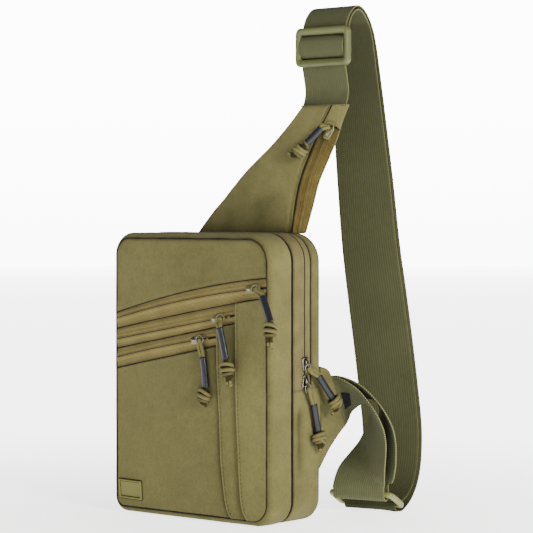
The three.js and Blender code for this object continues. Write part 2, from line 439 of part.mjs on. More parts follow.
// The pull: a wire bail, a doubled cord with a knot and two tails, and a shrink sleeve.
function pull(name, bail, n, u, path, knot, tails, ref) {
  const o = n.clone().normalize(), s = u.clone().normalize(), q = o.clone().cross(s).normalize();
  const rr = 3.5, wire = 0.6, K = 14;
  const loops = Array.from({ length: K }, (_, i) => {
    const a = (2 * Math.PI * i) / K, c = bail.clone().addScaledVector(s, rr * 1.15 * Math.cos(a)).addScaledVector(q, rr * Math.sin(a));
    const out = s.clone().multiplyScalar(Math.cos(a)).addScaledVector(q, Math.sin(a)).normalize();
    return Array.from({ length: 6 }, (_, j) => { const b = (2 * Math.PI * j) / 6; return c.clone().addScaledVector(out, wire * Math.cos(b)).addScaledVector(o, wire * Math.sin(b)); });
  });
  add(`pull_bail_${name}`, loft(loops, true), METAL_M());
  // path: start, sleeve top, sleeve bottom; then the knot's centre and radii, and the tails' end
  const [a, b, c] = path, rows = [], P = (p, r, d = r) => rows.push([p.x, p.y, p.z, r, d]);
  P(a, 1.9, 1.15);
  P(a.clone().lerp(b, 0.5), 2.1, 1.15);
  P(b.clone().lerp(c, -0.05), 1.6, 1.3);
  P(b.clone().lerp(c, 0.05), 1.6, 1.6);
  P(c.clone().lerp(b, 0.05), 1.6, 1.6);
  const k = knot.c, dir = k.clone().sub(c).normalize(), L = knot.l;
  for (const [f, r] of [[-0.98, 0.32], [-0.75, 0.75], [-0.3, 1], [0.3, 1], [0.75, 0.75], [0.98, 0.34]])
    P(k.clone().addScaledVector(dir, f * L), Math.max(knot.w * r, 1.7), Math.max(knot.d * r, 1.4));
  P(k.clone().addScaledVector(dir, L * 0.98).lerp(tails, 0.5), 2.1, 1.3);
  P(tails, 2.1, 1.3);
  add(`pull_cord_${name}`, rod(rows, 8, ref), CLOTH_M());
  add(`pull_sleeve_${name}`, pipe(b, c, SLEEVE_R, SLEEVE_WALL), SLEEVE_M());
}
const OUT = V(0, -1, 0);
const tangent = (k, x) => V(1, 0, k === 1 ? ZIP_SLOPE_2[2] : -(x - ZIP_ARC[k][0]) / (arcZ(x, k) - ZIP_ARC[k][1]));
const FRONT = [
  ["front_1", 0, 72.0, [V(80.5, -40.2, 196.9), V(88.6, -41.6, 194.2), V(103.2, -48.6, 173.5)], { c: V(103.9, -50.2, 166.6), w: 6.0, d: 3.7, l: 6.2 }, V(103.6, -49.6, 152.5)],
  ["front_2", 1, 33.0, [V(37.2, -40.2, 170.0), V(42.3, -42.9, 167.0), V(49.7, -43.8, 140.8)], { c: V(52.4, -45.0, 131.8), w: 6.2, d: 3.6, l: 6.4 }, V(54.6, -44.4, 117.5)],
  ["front_3", 2, 9.5, [V(14.8, -38.6, 151.6), V(19.0, -38.5, 141.0), V(22.4, -38.5, 115.2)], { c: V(20.9, -39.6, 107.8), w: 5.6, d: 3.6, l: 5.8 }, V(21.5, -38.6, 99.5)],
];
for (const [name, k, x, path, knot, tails] of FRONT) {
  const at = V(x, -34.4, arcZ(x, k)), t = tangent(k, x).normalize();
  slider(name, at, t, OUT);
  pull(name, at.clone().addScaledVector(t, 6.3).add(V(0, -3.95, 0)), OUT, t, path, knot, tails, V(0, 1, 0));
}
const SIDE = V(1, 0, 0), UP = V(0, 0, 1);
slider("main_upper", V(91.6, Y_COIL, 137), V(0, 0, 1), SIDE);
pull("main_upper", V(95.55, Y_COIL, 132.6), SIDE, V(0, 0, -1), [V(97.2, 13.2, 129.6), V(98.4, 21.2, 125.4), V(103.4, 33.4, 106.6)], { c: V(105.6, 35.0, 101.4), w: 5.6, d: 4.6, l: 5.2 }, V(104.2, 33.0, 92.6), V(1, 0, 0));
slider("main_lower", V(91.6, Y_COIL, 119.6), V(0, 0, -1), SIDE);
pull("main_lower", V(95.55, Y_COIL, 115.4), SIDE, V(0, 0, -1), [V(97.2, 11.6, 112.2), V(96.4, 17.0, 101.2), V(96.9, 22.4, 78.2)], { c: V(98.0, 22.2, 71.6), w: 6.4, d: 4.4, l: 5.8 }, V(97.4, 25.6, 60.6), V(1, 0, 0));
{
  const F = V(78.3, 46.5, 336), B = V(93.7, 55.0, 336), d = B.clone().sub(F).normalize(), n = V(d.y, -d.x, 0.12).normalize();
  const down = V(-12, -14.7, -51).normalize(), at = V(86, 50.7, 334.5).addScaledVector(n, 2.2), s = down.clone().addScaledVector(n, -down.dot(n)).normalize();
  slider("wing", at, s.clone().negate(), n);
  pull("wing", at.clone().addScaledVector(n, 4.05).addScaledVector(s, -3.6), n, s, [V(86.2, 43.2, 338.2), V(84.4, 41.6, 337.4), V(73.4, 35.8, 325.0)], { c: V(68.6, 31.4, 317.4), w: 5.6, d: 4.2, l: 5.4 }, V(56.6, 30.6, 314.6), V(0, 1, 0));
}

export default root;
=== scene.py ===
import math

import bpy
import bmesh
from mathutils import Matrix, Vector, noise


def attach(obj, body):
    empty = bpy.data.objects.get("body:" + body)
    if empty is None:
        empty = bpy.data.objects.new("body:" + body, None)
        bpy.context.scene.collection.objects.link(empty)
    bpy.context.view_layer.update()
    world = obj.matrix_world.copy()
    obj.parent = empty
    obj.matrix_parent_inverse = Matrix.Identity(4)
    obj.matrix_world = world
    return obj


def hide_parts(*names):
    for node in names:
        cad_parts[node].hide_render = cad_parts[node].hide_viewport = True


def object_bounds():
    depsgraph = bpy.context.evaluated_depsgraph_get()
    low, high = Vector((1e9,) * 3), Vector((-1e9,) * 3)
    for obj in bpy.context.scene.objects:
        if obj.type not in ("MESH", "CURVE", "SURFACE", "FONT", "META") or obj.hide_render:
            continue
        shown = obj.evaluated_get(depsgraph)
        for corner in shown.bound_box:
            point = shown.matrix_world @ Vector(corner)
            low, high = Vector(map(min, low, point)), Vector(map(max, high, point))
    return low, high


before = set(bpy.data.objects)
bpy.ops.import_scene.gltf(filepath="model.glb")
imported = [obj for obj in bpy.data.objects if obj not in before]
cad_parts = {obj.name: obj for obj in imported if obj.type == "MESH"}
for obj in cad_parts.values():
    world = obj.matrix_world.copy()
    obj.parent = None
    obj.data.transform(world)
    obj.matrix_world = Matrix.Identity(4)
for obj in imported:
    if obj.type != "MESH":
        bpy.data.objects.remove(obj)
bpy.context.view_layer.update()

MM = 0.001


def V(x, y, z):
    return Vector((x, y, z))


def lerp(a, b, t):
    return a + (b - a) * t


def clamp(t, lo=0.0, hi=1.0):
    return max(lo, min(hi, t))


def ease(t):
    t = clamp(t)
    return t * t * (3 - 2 * t)


def table(rows, v, k=1):
    if v <= rows[0][0]:
        return rows[0][k]
    for a, b in zip(rows, rows[1:]):
        if v <= b[0]:
            return lerp(a[k], b[k], (v - a[0]) / (b[0] - a[0]))
    return rows[-1][k]


def curve(rows, v, k=1):
    """A smooth (monotone-ish Catmull-Rom) reading of a table."""
    if v <= rows[0][0]:
        return rows[0][k]
    if v >= rows[-1][0]:
        return rows[-1][k]
    for i in range(len(rows) - 1):
        if v <= rows[i + 1][0]:
            x0, x1 = rows[i][0], rows[i + 1][0]
            t, h = (v - x0) / (x1 - x0), x1 - x0
            m0 = (rows[i + 1][k] - rows[max(i - 1, 0)][k]) / (rows[i + 1][0] - rows[max(i - 1, 0)][0])
            j = min(i + 2, len(rows) - 1)
            m1 = (rows[j][k] - rows[i][k]) / (rows[j][0] - rows[i][0])
            a, b = rows[i][k], rows[i + 1][k]
            t2, t3 = t * t, t * t * t
            return (2 * t3 - 3 * t2 + 1) * a + (t3 - 2 * t2 + t) * h * m0 + (-2 * t3 + 3 * t2) * b + (t3 - t2) * h * m1
    return rows[-1][k]


def smooth(rows, n):
    out, m = [], len(rows) - 1
    for i in range(n + 1):
        s = i / n * m
        k = min(int(s), m - 1)
        t = s - k
        p = [rows[max(k - 1, 0)], rows[k], rows[k + 1], rows[min(k + 2, m)]]
        out.append([0.5 * (2 * b + (c - a) * t + (2 * a - 5 * b + 4 * c - e) * t * t + (3 * b - a - 3 * c + e) * t ** 3) for a, b, c, e in zip(*p)])
    return out


def ns(p, scale, seed=0.0):
    return noise.noise(Vector(p) / scale + Vector((seed * 13.1, seed * 7.7, seed * 3.3)))


# ------------------------------------------------------------------ materials
def srgb(r, g, b):
    return tuple(((c / 255) / 12.92 if c / 255 <= 0.04045 else ((c / 255 + 0.055) / 1.055) ** 2.4) for c in (r, g, b)) + (1.0,)


class Mat:
    """A small node-tree builder."""

    def __init__(self, name, rough=0.8, metal=0.0, sheen=0.0, coat=0.0, spec=0.0):
        self.m = bpy.data.materials.new(name)
        self.m.use_nodes = True
        self.t = self.m.node_tree
        self.t.nodes.clear()
        self.out = self.t.nodes.new("ShaderNodeOutputMaterial")
        self.b = self.t.nodes.new("ShaderNodeBsdfPrincipled")
        self.t.links.new(self.b.outputs[0], self.out.inputs[0])
        self.b.inputs["Roughness"].default_value = rough
        self.b.inputs["Metallic"].default_value = metal
        self.b.inputs["Sheen Weight"].default_value = sheen
        self.b.inputs["Sheen Roughness"].default_value = 0.5
        self.b.inputs["Coat Weight"].default_value = coat
        self.b.inputs["Specular IOR Level"].default_value = spec
        self.height = None

    def n(self, kind, **values):
        node = self.t.nodes.new("ShaderNode" + kind)
        for k, v in values.items():
            if isinstance(v, bpy.types.NodeSocket):
                self.t.links.new(v, node.inputs[k])
            elif k in node.inputs:
                node.inputs[k].default_value = v
            else:
                setattr(node, k, v)
        return node

    def math(self, op, a, b=None, c=None):
        node = self.t.nodes.new("ShaderNodeMath")
        node.operation = op
        for i, v in enumerate((a, b, c)):
            if v is None:
                continue
            if isinstance(v, bpy.types.NodeSocket):
                self.t.links.new(v, node.inputs[i])
            else:
                node.inputs[i].default_value = v
        return node.outputs[0]

    def obj(self):
        return self.n("TexCoord").outputs["Object"]

    def uv(self):
        """The two lengths over the surface, in millimetres, as two sockets."""
        s = self.t.nodes.new("ShaderNodeSeparateXYZ")
        u = self.t.nodes.new("ShaderNodeUVMap")
        u.uv_map = "mm"
        self.t.links.new(u.outputs[0], s.inputs[0])
        return s.outputs[0], s.outputs[1]

    def noise(self, scale, detail=3.0, rough=0.5, vec=None, stretch=None):
        v = vec if vec is not None else self.obj()
        if stretch:
            mp = self.n("Mapping")
            self.t.links.new(v, mp.inputs["Vector"])
            mp.inputs["Scale"].default_value = stretch
            v = mp.outputs[0]
        x = self.n("TexNoise", Scale=scale, Detail=detail, Roughness=rough)
        self.t.links.new(v, x.inputs["Vector"])
        return x.outputs["Fac"]

    def remap(self, v, a, b, lo, hi):
        r = self.t.nodes.new("ShaderNodeMapRange")
        self.t.links.new(v, r.inputs[0])
        for i, q in enumerate((a, b, lo, hi)):
            r.inputs[i + 1].default_value = q
        return r.outputs[0]

    def mix(self, fac, a, b):
        x = self.t.nodes.new("ShaderNodeMix")
        x.data_type = "RGBA"
        for k, v in ((0, fac), (6, a), (7, b)):
            if isinstance(v, bpy.types.NodeSocket):
                self.t.links.new(v, x.inputs[k])
            else:
                x.inputs[k].default_value = v
        return x.outputs[2]

    def colour(self, c):
        if isinstance(c, bpy.types.NodeSocket):
            self.t.links.new(c, self.b.inputs["Base Color"])
        else:
            self.b.inputs["Base Color"].default_value = c

    def shaded(self, c):
        """Painted shade: darker where the mesh's shade attribute says so, down in the seams and under the folds;
        painted light where it is below zero.
        """
        at = self.t.nodes.new("ShaderNodeAttribute")
        at.attribute_name = "shade"
        k = self.math("SUBTRACT", 1.0, self.math("MULTIPLY", at.outputs["Fac"], 0.8))
        v = self.t.nodes.new("ShaderNodeVectorMath")
        v.operation = "SCALE"
        self.t.links.new(c, v.inputs[0])
        self.t.links.new(k, v.inputs["Scale"])
        return v.outputs[0]

    def rough(self, c):
        self.t.links.new(c, self.b.inputs["Roughness"])

    def bump(self, height, distance, strength=1.0):
        bp = self.t.nodes.new("ShaderNodeBump")
        bp.inputs["Distance"].default_value = distance
        bp.inputs["Strength"].default_value = strength
        self.t.links.new(height, bp.inputs["Height"])
        if self.height is not None:
            self.t.links.new(self.height, bp.inputs["Normal"])
        self.height = bp.outputs[0]
        self.t.links.new(self.height, self.b.inputs["Normal"])


def weave(m, u, v, pitch):
    """Plain weave of two threads: height from 0 to 1."""
    k = 2 * math.pi / pitch
    a = m.math("SINE", m.math("MULTIPLY", u, k))
    b = m.math("SINE", m.math("MULTIPLY", v, k))
    h = m.math("MULTIPLY", a, b)
    return m.math("ADD", m.math("MULTIPLY", h, 0.5), 0.5)


def cloth_material(name, base, dark=0.86, light=1.12, pitch=0.75, sheen=0.04):
    """Matt woven nylon: a fine oxford weave, slubs, and slow changes of shade."""
    m = Mat(name, 0.82, sheen=sheen)
    u, v = m.uv()
    w = weave(m, u, v, pitch)
    big = m.noise(9.0, 3, 0.55)
    fine = m.noise(1400.0, 2, 0.6)
    mid = m.noise(160.0, 3, 0.6)
    c0 = tuple(min(1, q * dark) for q in base[:3]) + (1,)
    c1 = tuple(min(1, q * light) for q in base[:3]) + (1,)
    c = m.mix(m.remap(big, 0.3, 0.7, 0.15, 0.85), c0, c1)
    c = m.mix(m.math("MULTIPLY", m.remap(mid, 0.35, 0.65, 0.0, 1.0), 0.22), c, (base[0] * 0.72, base[1] * 0.74, base[2] * 0.66, 1))
    grain = m.noise(430.0, 2, 0.6)
    c = m.mix(m.math("MULTIPLY", m.remap(grain, 0.42, 0.62, 0.0, 1.0), 0.30), c, (base[0] * 0.62, base[1] * 0.64, base[2] * 0.55, 1))
    c = m.mix(m.math("MULTIPLY", m.remap(w, 0.0, 0.55, 1.0, 0.0), 0.20), c, (base[0] * 0.55, base[1] * 0.55, base[2] * 0.5, 1))
    c = m.mix(m.math("MULTIPLY", m.remap(fine, 0.45, 0.7, 0.0, 1.0), 0.16), c, (min(1, base[0] * 1.55), min(1, base[1] * 1.5), min(1, base[2] * 1.45), 1))
    m.colour(m.shaded(c))
    m.rough(m.remap(mid, 0.2, 0.8, 0.76, 0.92))
    m.bump(m.noise(55.0, 3, 0.5), 0.0006, 0.35)
    m.bump(w, 0.00012, 0.8)
    return m.m


def tape_material(name, base, rib=1.05, across=False, contrast=0.5):
    """Knitted zip tape: ridges along the zip and small oblique stitches between them."""
    m = Mat(name, 0.85, sheen=0.03)
    u, v = m.uv()
    if across:
        u, v = v, u
    k = 2 * math.pi
    ridge = m.math("ADD", m.math("MULTIPLY", m.math("SINE", m.math("MULTIPLY", v, k / rib)), 0.5), 0.5)
    saw = m.math("ADD", m.math("MULTIPLY", u, k / 0.62), m.math("MULTIPLY", m.math("SINE", m.math("MULTIPLY", v, k / rib)), 1.1))
    knit = m.math("ADD", m.math("MULTIPLY", m.math("SINE", saw), 0.5), 0.5)
    h = m.math("ADD", m.math("MULTIPLY", ridge, 0.6), m.math("MULTIPLY", knit, 0.4))
    c = m.mix(m.remap(h, 0.15, 0.85, 0.0, 1.0), tuple(q * (1 - contrast) for q in base[:3]) + (1,), tuple(min(1, q * 1.22) for q in base[:3]) + (1,))
    c = m.mix(m.math("MULTIPLY", m.remap(m.noise(700.0, 2), 0.5, 0.7, 0, 1), 0.25), c, tuple(min(1, q * 1.6) for q in base[:3]) + (1,))
    m.colour(m.shaded(c))
    m.bump(h, 0.00022, 0.9)
    return m.m


def webbing_material(name, base, edge, width=50.0):
    """Ribbed strap webbing: lengthwise ribs, close weft, and lighter selvedge threads. u runs along, v across."""
    m = Mat(name, 0.72, sheen=0.03)
    u, v = m.uv()
    k = 2 * math.pi
    rib = m.math("ADD", m.math("MULTIPLY", m.math("SINE", m.math("MULTIPLY", v, k / 2.08)), 0.5), 0.5)
    col = m.math("ROUND", m.math("DIVIDE", v, 1.04))
    weft = m.math("ADD", m.math("MULTIPLY", m.math("SINE", m.math("ADD", m.math("MULTIPLY", u, k / 1.45), m.math("MULTIPLY", col, math.pi))), 0.5), 0.5)
    h = m.math("ADD", m.math("MULTIPLY", rib, 0.55), m.math("MULTIPLY", weft, 0.45))
    slub = m.noise(220.0, 3, 0.6)
    c0 = tuple(q * 0.74 for q in base[:3]) + (1,)
    c1 = tuple(min(1, q * 1.22) for q in base[:3]) + (1,)
    c = m.mix(m.remap(h, 0.1, 0.9, 0.0, 1.0), c0, c1)
    c = m.mix(m.math("MULTIPLY", m.remap(slub, 0.4, 0.7, 0, 1), 0.2), c, tuple(q * 0.7 for q in base[:3]) + (1,))
    far = m.math("ABSOLUTE", v)
    sel = m.remap(far, width / 2 - 0.6, width / 2 - 0.3, 0.0, 1.0)
    dots = m.math("ADD", m.math("MULTIPLY", m.math("SINE", m.math("MULTIPLY", u, k / 1.45)), 0.5), 0.5)
    c = m.mix(m.math("MULTIPLY", sel, m.remap(dots, 0.3, 0.7, 0.0, 0.9)), c, edge)
    m.colour(m.shaded(c))
    m.bump(m.noise(40.0, 3), 0.0005, 0.25)
    m.bump(h, 0.00022, 0.7)
    return m.m


def plastic_material(name, base, rough=0.45):
    m = Mat(name, rough, coat=0.03, spec=0.25)
    n1 = m.noise(900.0, 2, 0.5)
    n2 = m.noise(30.0, 3, 0.5)
    c = m.mix(m.remap(n2, 0.3, 0.7, 0, 1), tuple(q * 0.88 for q in base[:3]) + (1,), tuple(min(1, q * 1.1) for q in base[:3]) + (1,))
    m.colour(c)
    m.rough(m.remap(n2, 0.3, 0.7, rough - 0.08, rough + 0.1))
    m.bump(n1, 0.00008, 0.5)
    return m.m


def metal_material(name, base, rough=0.28, painted=False):
    m = Mat(name, rough, 0.35 if painted else 1.0, spec=0.5)
    n2 = m.noise(260.0, 4, 0.6)
    c = m.mix(m.remap(n2, 0.35, 0.7, 0, 1), tuple(q * 0.7 for q in base[:3]) + (1,), tuple(min(1, q * 1.15) for q in base[:3]) + (1,))
    m.colour(c)
    m.rough(m.remap(n2, 0.3, 0.7, rough - 0.1, rough + 0.15))
    return m.m


def cord_material(name, base):
    """Braided cord: two sets of strands wound opposite ways. u along, v round, both in millimetres."""
    m = Mat(name, 0.8, sheen=0.03)
    u, v = m.uv()
    k = 2 * math.pi
    a = m.math("SINE", m.math("ADD", m.math("MULTIPLY", u, k / 1.5), m.math("MULTIPLY", v, k / 1.26)))
    b = m.math("SINE", m.math("SUBTRACT", m.math("MULTIPLY", u, k / 1.5), m.math("MULTIPLY", v, k / 1.26)))
    h = m.math("ADD", m.math("MULTIPLY", m.math("MAXIMUM", a, b), 0.5), 0.5)
    c = m.mix(m.remap(h, 0.3, 1.0, 0, 1), tuple(q * 0.55 for q in base[:3]) + (1,), tuple(min(1, q * 1.15) for q in base[:3]) + (1,))
    m.colour(m.shaded(c))
    m.bump(h, 0.0002, 0.8)
    return m.m


def plain_cloth(name, base, pitch=0.8):
    return cloth_material(name, base, 0.85, 1.1, pitch)


CLOTH = cloth_material("olive_cloth", (0.103, 0.094, 0.038, 1))
LINING = plain_cloth("lining_cloth", (0.070, 0.064, 0.032, 1))
TAPE = tape_material("ochre_tape", (0.124, 0.101, 0.038, 1), contrast=0.4)
WTAPE = tape_material("ochre_wing_tape", (0.070, 0.054, 0.017, 1), contrast=0.4)
TAN = tape_material("tan_tape", (0.096, 0.082, 0.036, 1), rib=0.9, contrast=0.2)
COIL = tape_material("coil", (0.080, 0.062, 0.026, 1), rib=1.3, contrast=0.6)
WEB = webbing_material("webbing", (0.051, 0.054, 0.027, 1), (0.14, 0.14, 0.055, 1))
PLASTIC = plastic_material("olive_plastic", (0.056, 0.062, 0.019, 1), 0.52)
RINGPL = plastic_material("ring_plastic", (0.150, 0.148, 0.050, 1), 0.5)
RUBBER = plastic_material("patch_rubber", (0.102, 0.098, 0.016, 1), 0.5)
NICKEL = metal_material("nickel", (0.13, 0.12, 0.085, 1), 0.24)
BRASS = metal_material("olive_brass", (0.085, 0.080, 0.026, 1), 0.36, painted=True)
BRIGHT = metal_material("brass_dot", (0.5, 0.42, 0.17, 1), 0.22)
SLEEVE = plastic_material("dark_sleeve", (0.008, 0.009, 0.013, 1), 0.36)
CORD = cord_material("olive_cord", (0.118, 0.106, 0.040, 1))
THREAD = plain_cloth("brown_thread", (0.060, 0.038, 0.013, 1), 0.3)
THREAD_L = plain_cloth("tan_thread", (0.18, 0.15, 0.07, 1), 0.3)
LABEL = plain_cloth("black_label", (0.010, 0.010, 0.013, 1), 0.5)
# black for the tubes laid in seams, creases, slits and under folds as painted shade, and for the real melted ends of
# the cords
SHADE_AND_MELT_BLACK = plain_cloth("shade_and_melted_end_black", (0.010, 0.009, 0.006, 1), 0.5)
MESHM = cloth_material("spacer_mesh", (0.075, 0.070, 0.036, 1), 0.7, 1.15, 2.2)


# ------------------------------------------------------------------ mesh helpers
def new_object(name, verts, faces, uvs=None, mats=(), face_mats=None, smooth_shade=True):
    me = bpy.data.meshes.new(name)
    me.from_pydata([tuple(v * MM) for v in verts], [], faces)
    if uvs is not None:
        layer = me.uv_layers.new(name="mm")
        for poly in me.polygons:
            for li in poly.loop_indices:
                layer.data[li].uv = uvs[me.loops[li].vertex_index]
    for m in mats:
        me.materials.append(m)
    if face_mats:
        for p, k in zip(me.polygons, face_mats):
            p.material_index = k
    if smooth_shade:
        me.polygons.foreach_set("use_smooth", [True] * len(me.polygons))
    me.update()
    o = bpy.data.objects.new(name, me)
    bpy.context.scene.collection.objects.link(o)
    return o


def grid(name, rows, mat, close_rows=False, close_cols=False, uv=None, flip=False, solid=0.0, offset=-1.0, face_mat=None, sub=0):
    """rows of equal numbers of points, in millimetres. uv gives (along, across) in millimetres; it is measured if left out."""
    n, m = len(rows), len(rows[0])
    verts = [Vector(p) for r in rows for p in r]
    if uv is None:
        uv, alongs = [], [0.0]
        mid = m // 2
        for i in range(1, n):
            alongs.append(alongs[-1] + (Vector(rows[i][mid]) - Vector(rows[i - 1][mid])).length)
        for i in range(n):
            acc = [0.0]
            for j in range(1, m):
                acc.append(acc[-1] + (Vector(rows[i][j]) - Vector(rows[i][j - 1])).length)
            half = acc[-1] / 2
            uv += [(alongs[i], a - half) for a in acc]
    faces, fm = [], []
    for i in range(n if close_rows else n - 1):
        for j in range(m if close_cols else m - 1):
            a, b = i * m + j, i * m + (j + 1) % m
            c, d = ((i + 1) % n) * m + (j + 1) % m, ((i + 1) % n) * m + j
            faces.append((a, d, c, b) if flip else (a, b, c, d))
            fm.append(face_mat(i, j) if face_mat else 0)
    mats = mat if isinstance(mat, (list, tuple)) else [mat]
    o = new_object(name, verts, faces, uv, mats, fm if face_mat else None)
    if solid:
        s = o.modifiers.new("thick", "SOLIDIFY")
        s.thickness = solid * MM
        s.offset = offset
        s.use_even_offset = False
    if sub:
        s = o.modifiers.new("sub", "SUBSURF")
        s.levels = s.render_levels = sub
    return o


def shade(o, fn):
    """Writes the painted shade of each point of the mesh from its place in millimetres: above zero darkens, below zero
    paints light.
    """
    a = o.data.attributes.new("shade", "FLOAT", "POINT")
    for v, d in zip(o.data.vertices, a.data):
        d.value = max(-0.6, min(1.0, fn(v.co.x * 1000, v.co.y * 1000, v.co.z * 1000)))
    return o


def ex(d, w):
    return math.exp(-max(0.0, d) / w)


def finish_piece(o, body, slot, *replaced):
    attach(o, body)
    if replaced:
        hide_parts(*replaced)
    return o


def apply_all(o):
    dg = bpy.context.evaluated_depsgraph_get()
    me = bpy.data.meshes.new_from_object(o.evaluated_get(dg))
    o.modifiers.clear()
    o.data = me
    return o


def join(name, objs):
    """Joins objects into one mesh, modifiers applied."""
    bm = bmesh.new()
    uvl = bm.loops.layers.uv.new("mm")
    mats = []
    for o in objs:
        dg = bpy.context.evaluated_depsgraph_get()
        me = bpy.data.meshes.new_from_object(o.evaluated_get(dg))
        remap = []
        for s in me.materials:
            if s not in mats:
                mats.append(s)
            remap.append(mats.index(s))
        me.transform(o.matrix_world)
        start = len(bm.verts)
        bm.verts.ensure_lookup_table()
        for v in me.vertices:
            bm.verts.new(v.co)
        bm.verts.ensure_lookup_table()
        layer = me.uv_layers.get("mm")
        for p in me.polygons:
            try:
                f = bm.faces.new([bm.verts[start + i] for i in p.vertices])
            except ValueError:
                continue
            f.smooth = p.use_smooth
            f.material_index = remap[p.material_index] if remap else 0
            if layer:
                for l, li in zip(f.loops, p.loop_indices):
                    l[uvl].uv = layer.data[li].uv
        bpy.data.objects.remove(o)
    me = bpy.data.meshes.new(name)
    bm.to_mesh(me)
    bm.free()
    for s in mats:
        me.materials.append(s)
    o = bpy.data.objects.new(name, me)
    bpy.context.scene.collection.objects.link(o)
    return o


def tube(name, path, radius, mat, sides=12, flat=None, closed=False, ref=None, cap=True):
    """A round or flattened tube along a smooth path. radius is a number or a list; flat is the second half-size; ref steadies its sides."""
    P = [Vector(p) for p in path]
    n = len(P)
    rad = radius if isinstance(radius, (list, tuple)) else [radius] * n
    fl = flat if isinstance(flat, (list, tuple)) else ([flat] * n if flat else rad)
    rows, uv, along = [], [], 0.0
    normal = None
    for i in range(n):
        a = P[(i - 1) % n] if (closed or i > 0) else P[i]
        b = P[(i + 1) % n] if (closed or i < n - 1) else P[i]
        t = (b - a).normalized()
        if normal is None or ref is not None:
            base = Vector(ref) if ref is not None else (Vector((0, 0, 1)) if abs(t.z) < 0.9 else Vector((0, 1, 0)))
            normal = (base - t * base.dot(t)).normalized()
        else:
            normal = (normal - t * normal.dot(t)).normalized()
        side = t.cross(normal)
        if i:
            along += (P[i] - P[i - 1]).length
        row = []
        for j in range(sides):
            g = 2 * math.pi * j / sides
            row.append(P[i] + normal * (fl[i] * math.cos(g)) + side * (rad[i] * math.sin(g)))
            uv.append((along, 2 * math.pi * rad[i] * j / sides))
        rows.append(row)
    m = sides
    verts = [p for r in rows for p in r]
    faces = []
    for i in range(n if closed else n - 1):
        for j in range(m):
            faces.append((i * m + j, ((i + 1) % n) * m + j, ((i + 1) % n) * m + (j + 1) % m, i * m + (j + 1) % m))
    if cap and not closed:
        for end, order in ((0, 1), (n - 1, -1)):
            faces.append(tuple(end * m + j for j in (range(m) if order == 1 else reversed(range(m)))))
    return new_object(name, verts, faces, uv, [mat])


def stitches(name, path, normals, mat, length=2.4, gap=1.0, width=0.42, lift=0.12, dash=None):
    """A row of sewn stitches along a path of points, each a small rounded thread."""
    P = [Vector(p) for p in path]
    N = [Vector(q).normalized() for q in normals]
    acc = [0.0]
    for a, b in zip(P, P[1:]):
        acc.append(acc[-1] + (b - a).length)

    def at(s):
        s = clamp(s, 0, acc[-1])
        for i in range(len(acc) - 1):
            if s <= acc[i + 1]:
                t = (s - acc[i]) / max(1e-9, acc[i + 1] - acc[i])
                return P[i].lerp(P[i + 1], t), N[i].lerp(N[i + 1], t).normalized()
        return P[-1], N[-1]
    verts, faces, uv = [], [], []
    s = gap * 0.5
    K = 6
    while s + length < acc[-1]:
        rows = []
        for f, r, h in ((0.0, 0.25, -0.9), (0.12, 0.85, -0.1), (0.5, 1.0, 0.35), (0.88, 0.85, -0.1), (1.0, 0.25, -0.9)):
            p, n = at(s + f * length)
            q, _ = at(s + f * length + 0.05)
            q0, _ = at(s + f * length - 0.05)
            t = (q - q0).normalized()
            side = t.cross(n).normalized()
            c = p + n * (lift + h * width * 0.5)
            rows.append([c + side * (width * 0.5 * r * math.cos(2 * math.pi * j / K)) + n * (width * 0.5 * r * math.sin(2 * math.pi * j / K)) for j in range(K)])
        base = len(verts)
        for i, row in enumerate(rows):
            for j, p in enumerate(row):
                verts.append(p)
                uv.append((s + i * length / 4, j * 0.2))
        for i in range(4):
            for j in range(K):
                faces.append((base + i * K + j, base + i * K + (j + 1) % K, base + (i + 1) * K + (j + 1) % K, base + (i + 1) * K + j))
        faces.append(tuple(base + j for j in reversed(range(K))))
        faces.append(tuple(base + 4 * K + j for j in range(K)))
        s += length + gap
    return new_object(name, verts, faces, uv, [mat])


# ------------------------------------------------------------------ the body's outline
HW, TOP, R0 = 91.5, 247.0, 26.0


CORNERS = {"tr": 25.0, "tl": 20.0, "bl": 13.0, "br": 20.0}


def corner(t, r0, r2):
    """A corner of reach r0 but radius r2, from t 0 to 1: (along the first side, along the second, angle in radians)."""
    L = 2 * (r0 - r2) + math.pi / 2 * r2
    d = t * L
    if d < r0 - r2:
        return r0, -(0.0) + d, 0.0
    d -= r0 - r2
    if d < math.pi / 2 * r2:
        a = d / r2
        return (r0 - r2) + r2 * math.cos(a), (r0 - r2) + r2 * math.sin(a), a
    d -= math.pi / 2 * r2
    return (r0 - r2) - d, r0, math.pi / 2


def outline_at(s, inset):
    """Point of the outline at perimeter position s (mm, from the right side at mid height, anticlockwise seen from the front), with its outward normal."""
    hw, z0, z1 = HW - inset, inset, TOP - inset
    r = R0 - inset
    zs = 123.5
    # lengths are those of the outline without inset, so that positions correspond
    H = TOP / 2 - R0
    W = 2 * (HW - R0)
    A = math.pi / 2 * R0
    per = 2 * (TOP - 2 * R0) + 2 * W + 4 * A
    s = s % per
    if s < H:
        return hw, zs + s, 1.0, 0.0
    s -= H
    if s < A:
        x, z, a = corner(s / A, r, min(r, CORNERS["tr"]))
        return hw - r + x, z1 - r + z, math.cos(a), math.sin(a)
    s -= A
    if s < W:
        return (HW - R0) - s, z1, 0.0, 1.0
    s -= W
    if s < A:
        x, z, a = corner(s / A, r, min(r, CORNERS["tl"]))
        return -hw + r - z, z1 - r + x, -math.sin(a), math.cos(a)
    s -= A
    if s < 2 * H:
        return -hw, (TOP - R0) - s, -1.0, 0.0
    s -= 2 * H
    if s < A:
        x, z, a = corner(s / A, r, min(r, CORNERS["bl"]))
        return -hw + r - x, z0 + r - z, -math.cos(a), -math.sin(a)
    s -= A
    if s < W:
        return -(HW - R0) + s, z0, 0.0, -1.0
    s -= W
    if s < A:
        x, z, a = corner(s / A, r, min(r, CORNERS["br"]))
        return hw - r + z, z0 + r - x, math.sin(a), -math.cos(a)
    s -= A
    return hw, R0 + s, 1.0, 0.0


PER = 2 * (TOP - 2 * R0) + 4 * (HW - R0) + 2 * math.pi * R0
H2 = TOP / 2 - R0


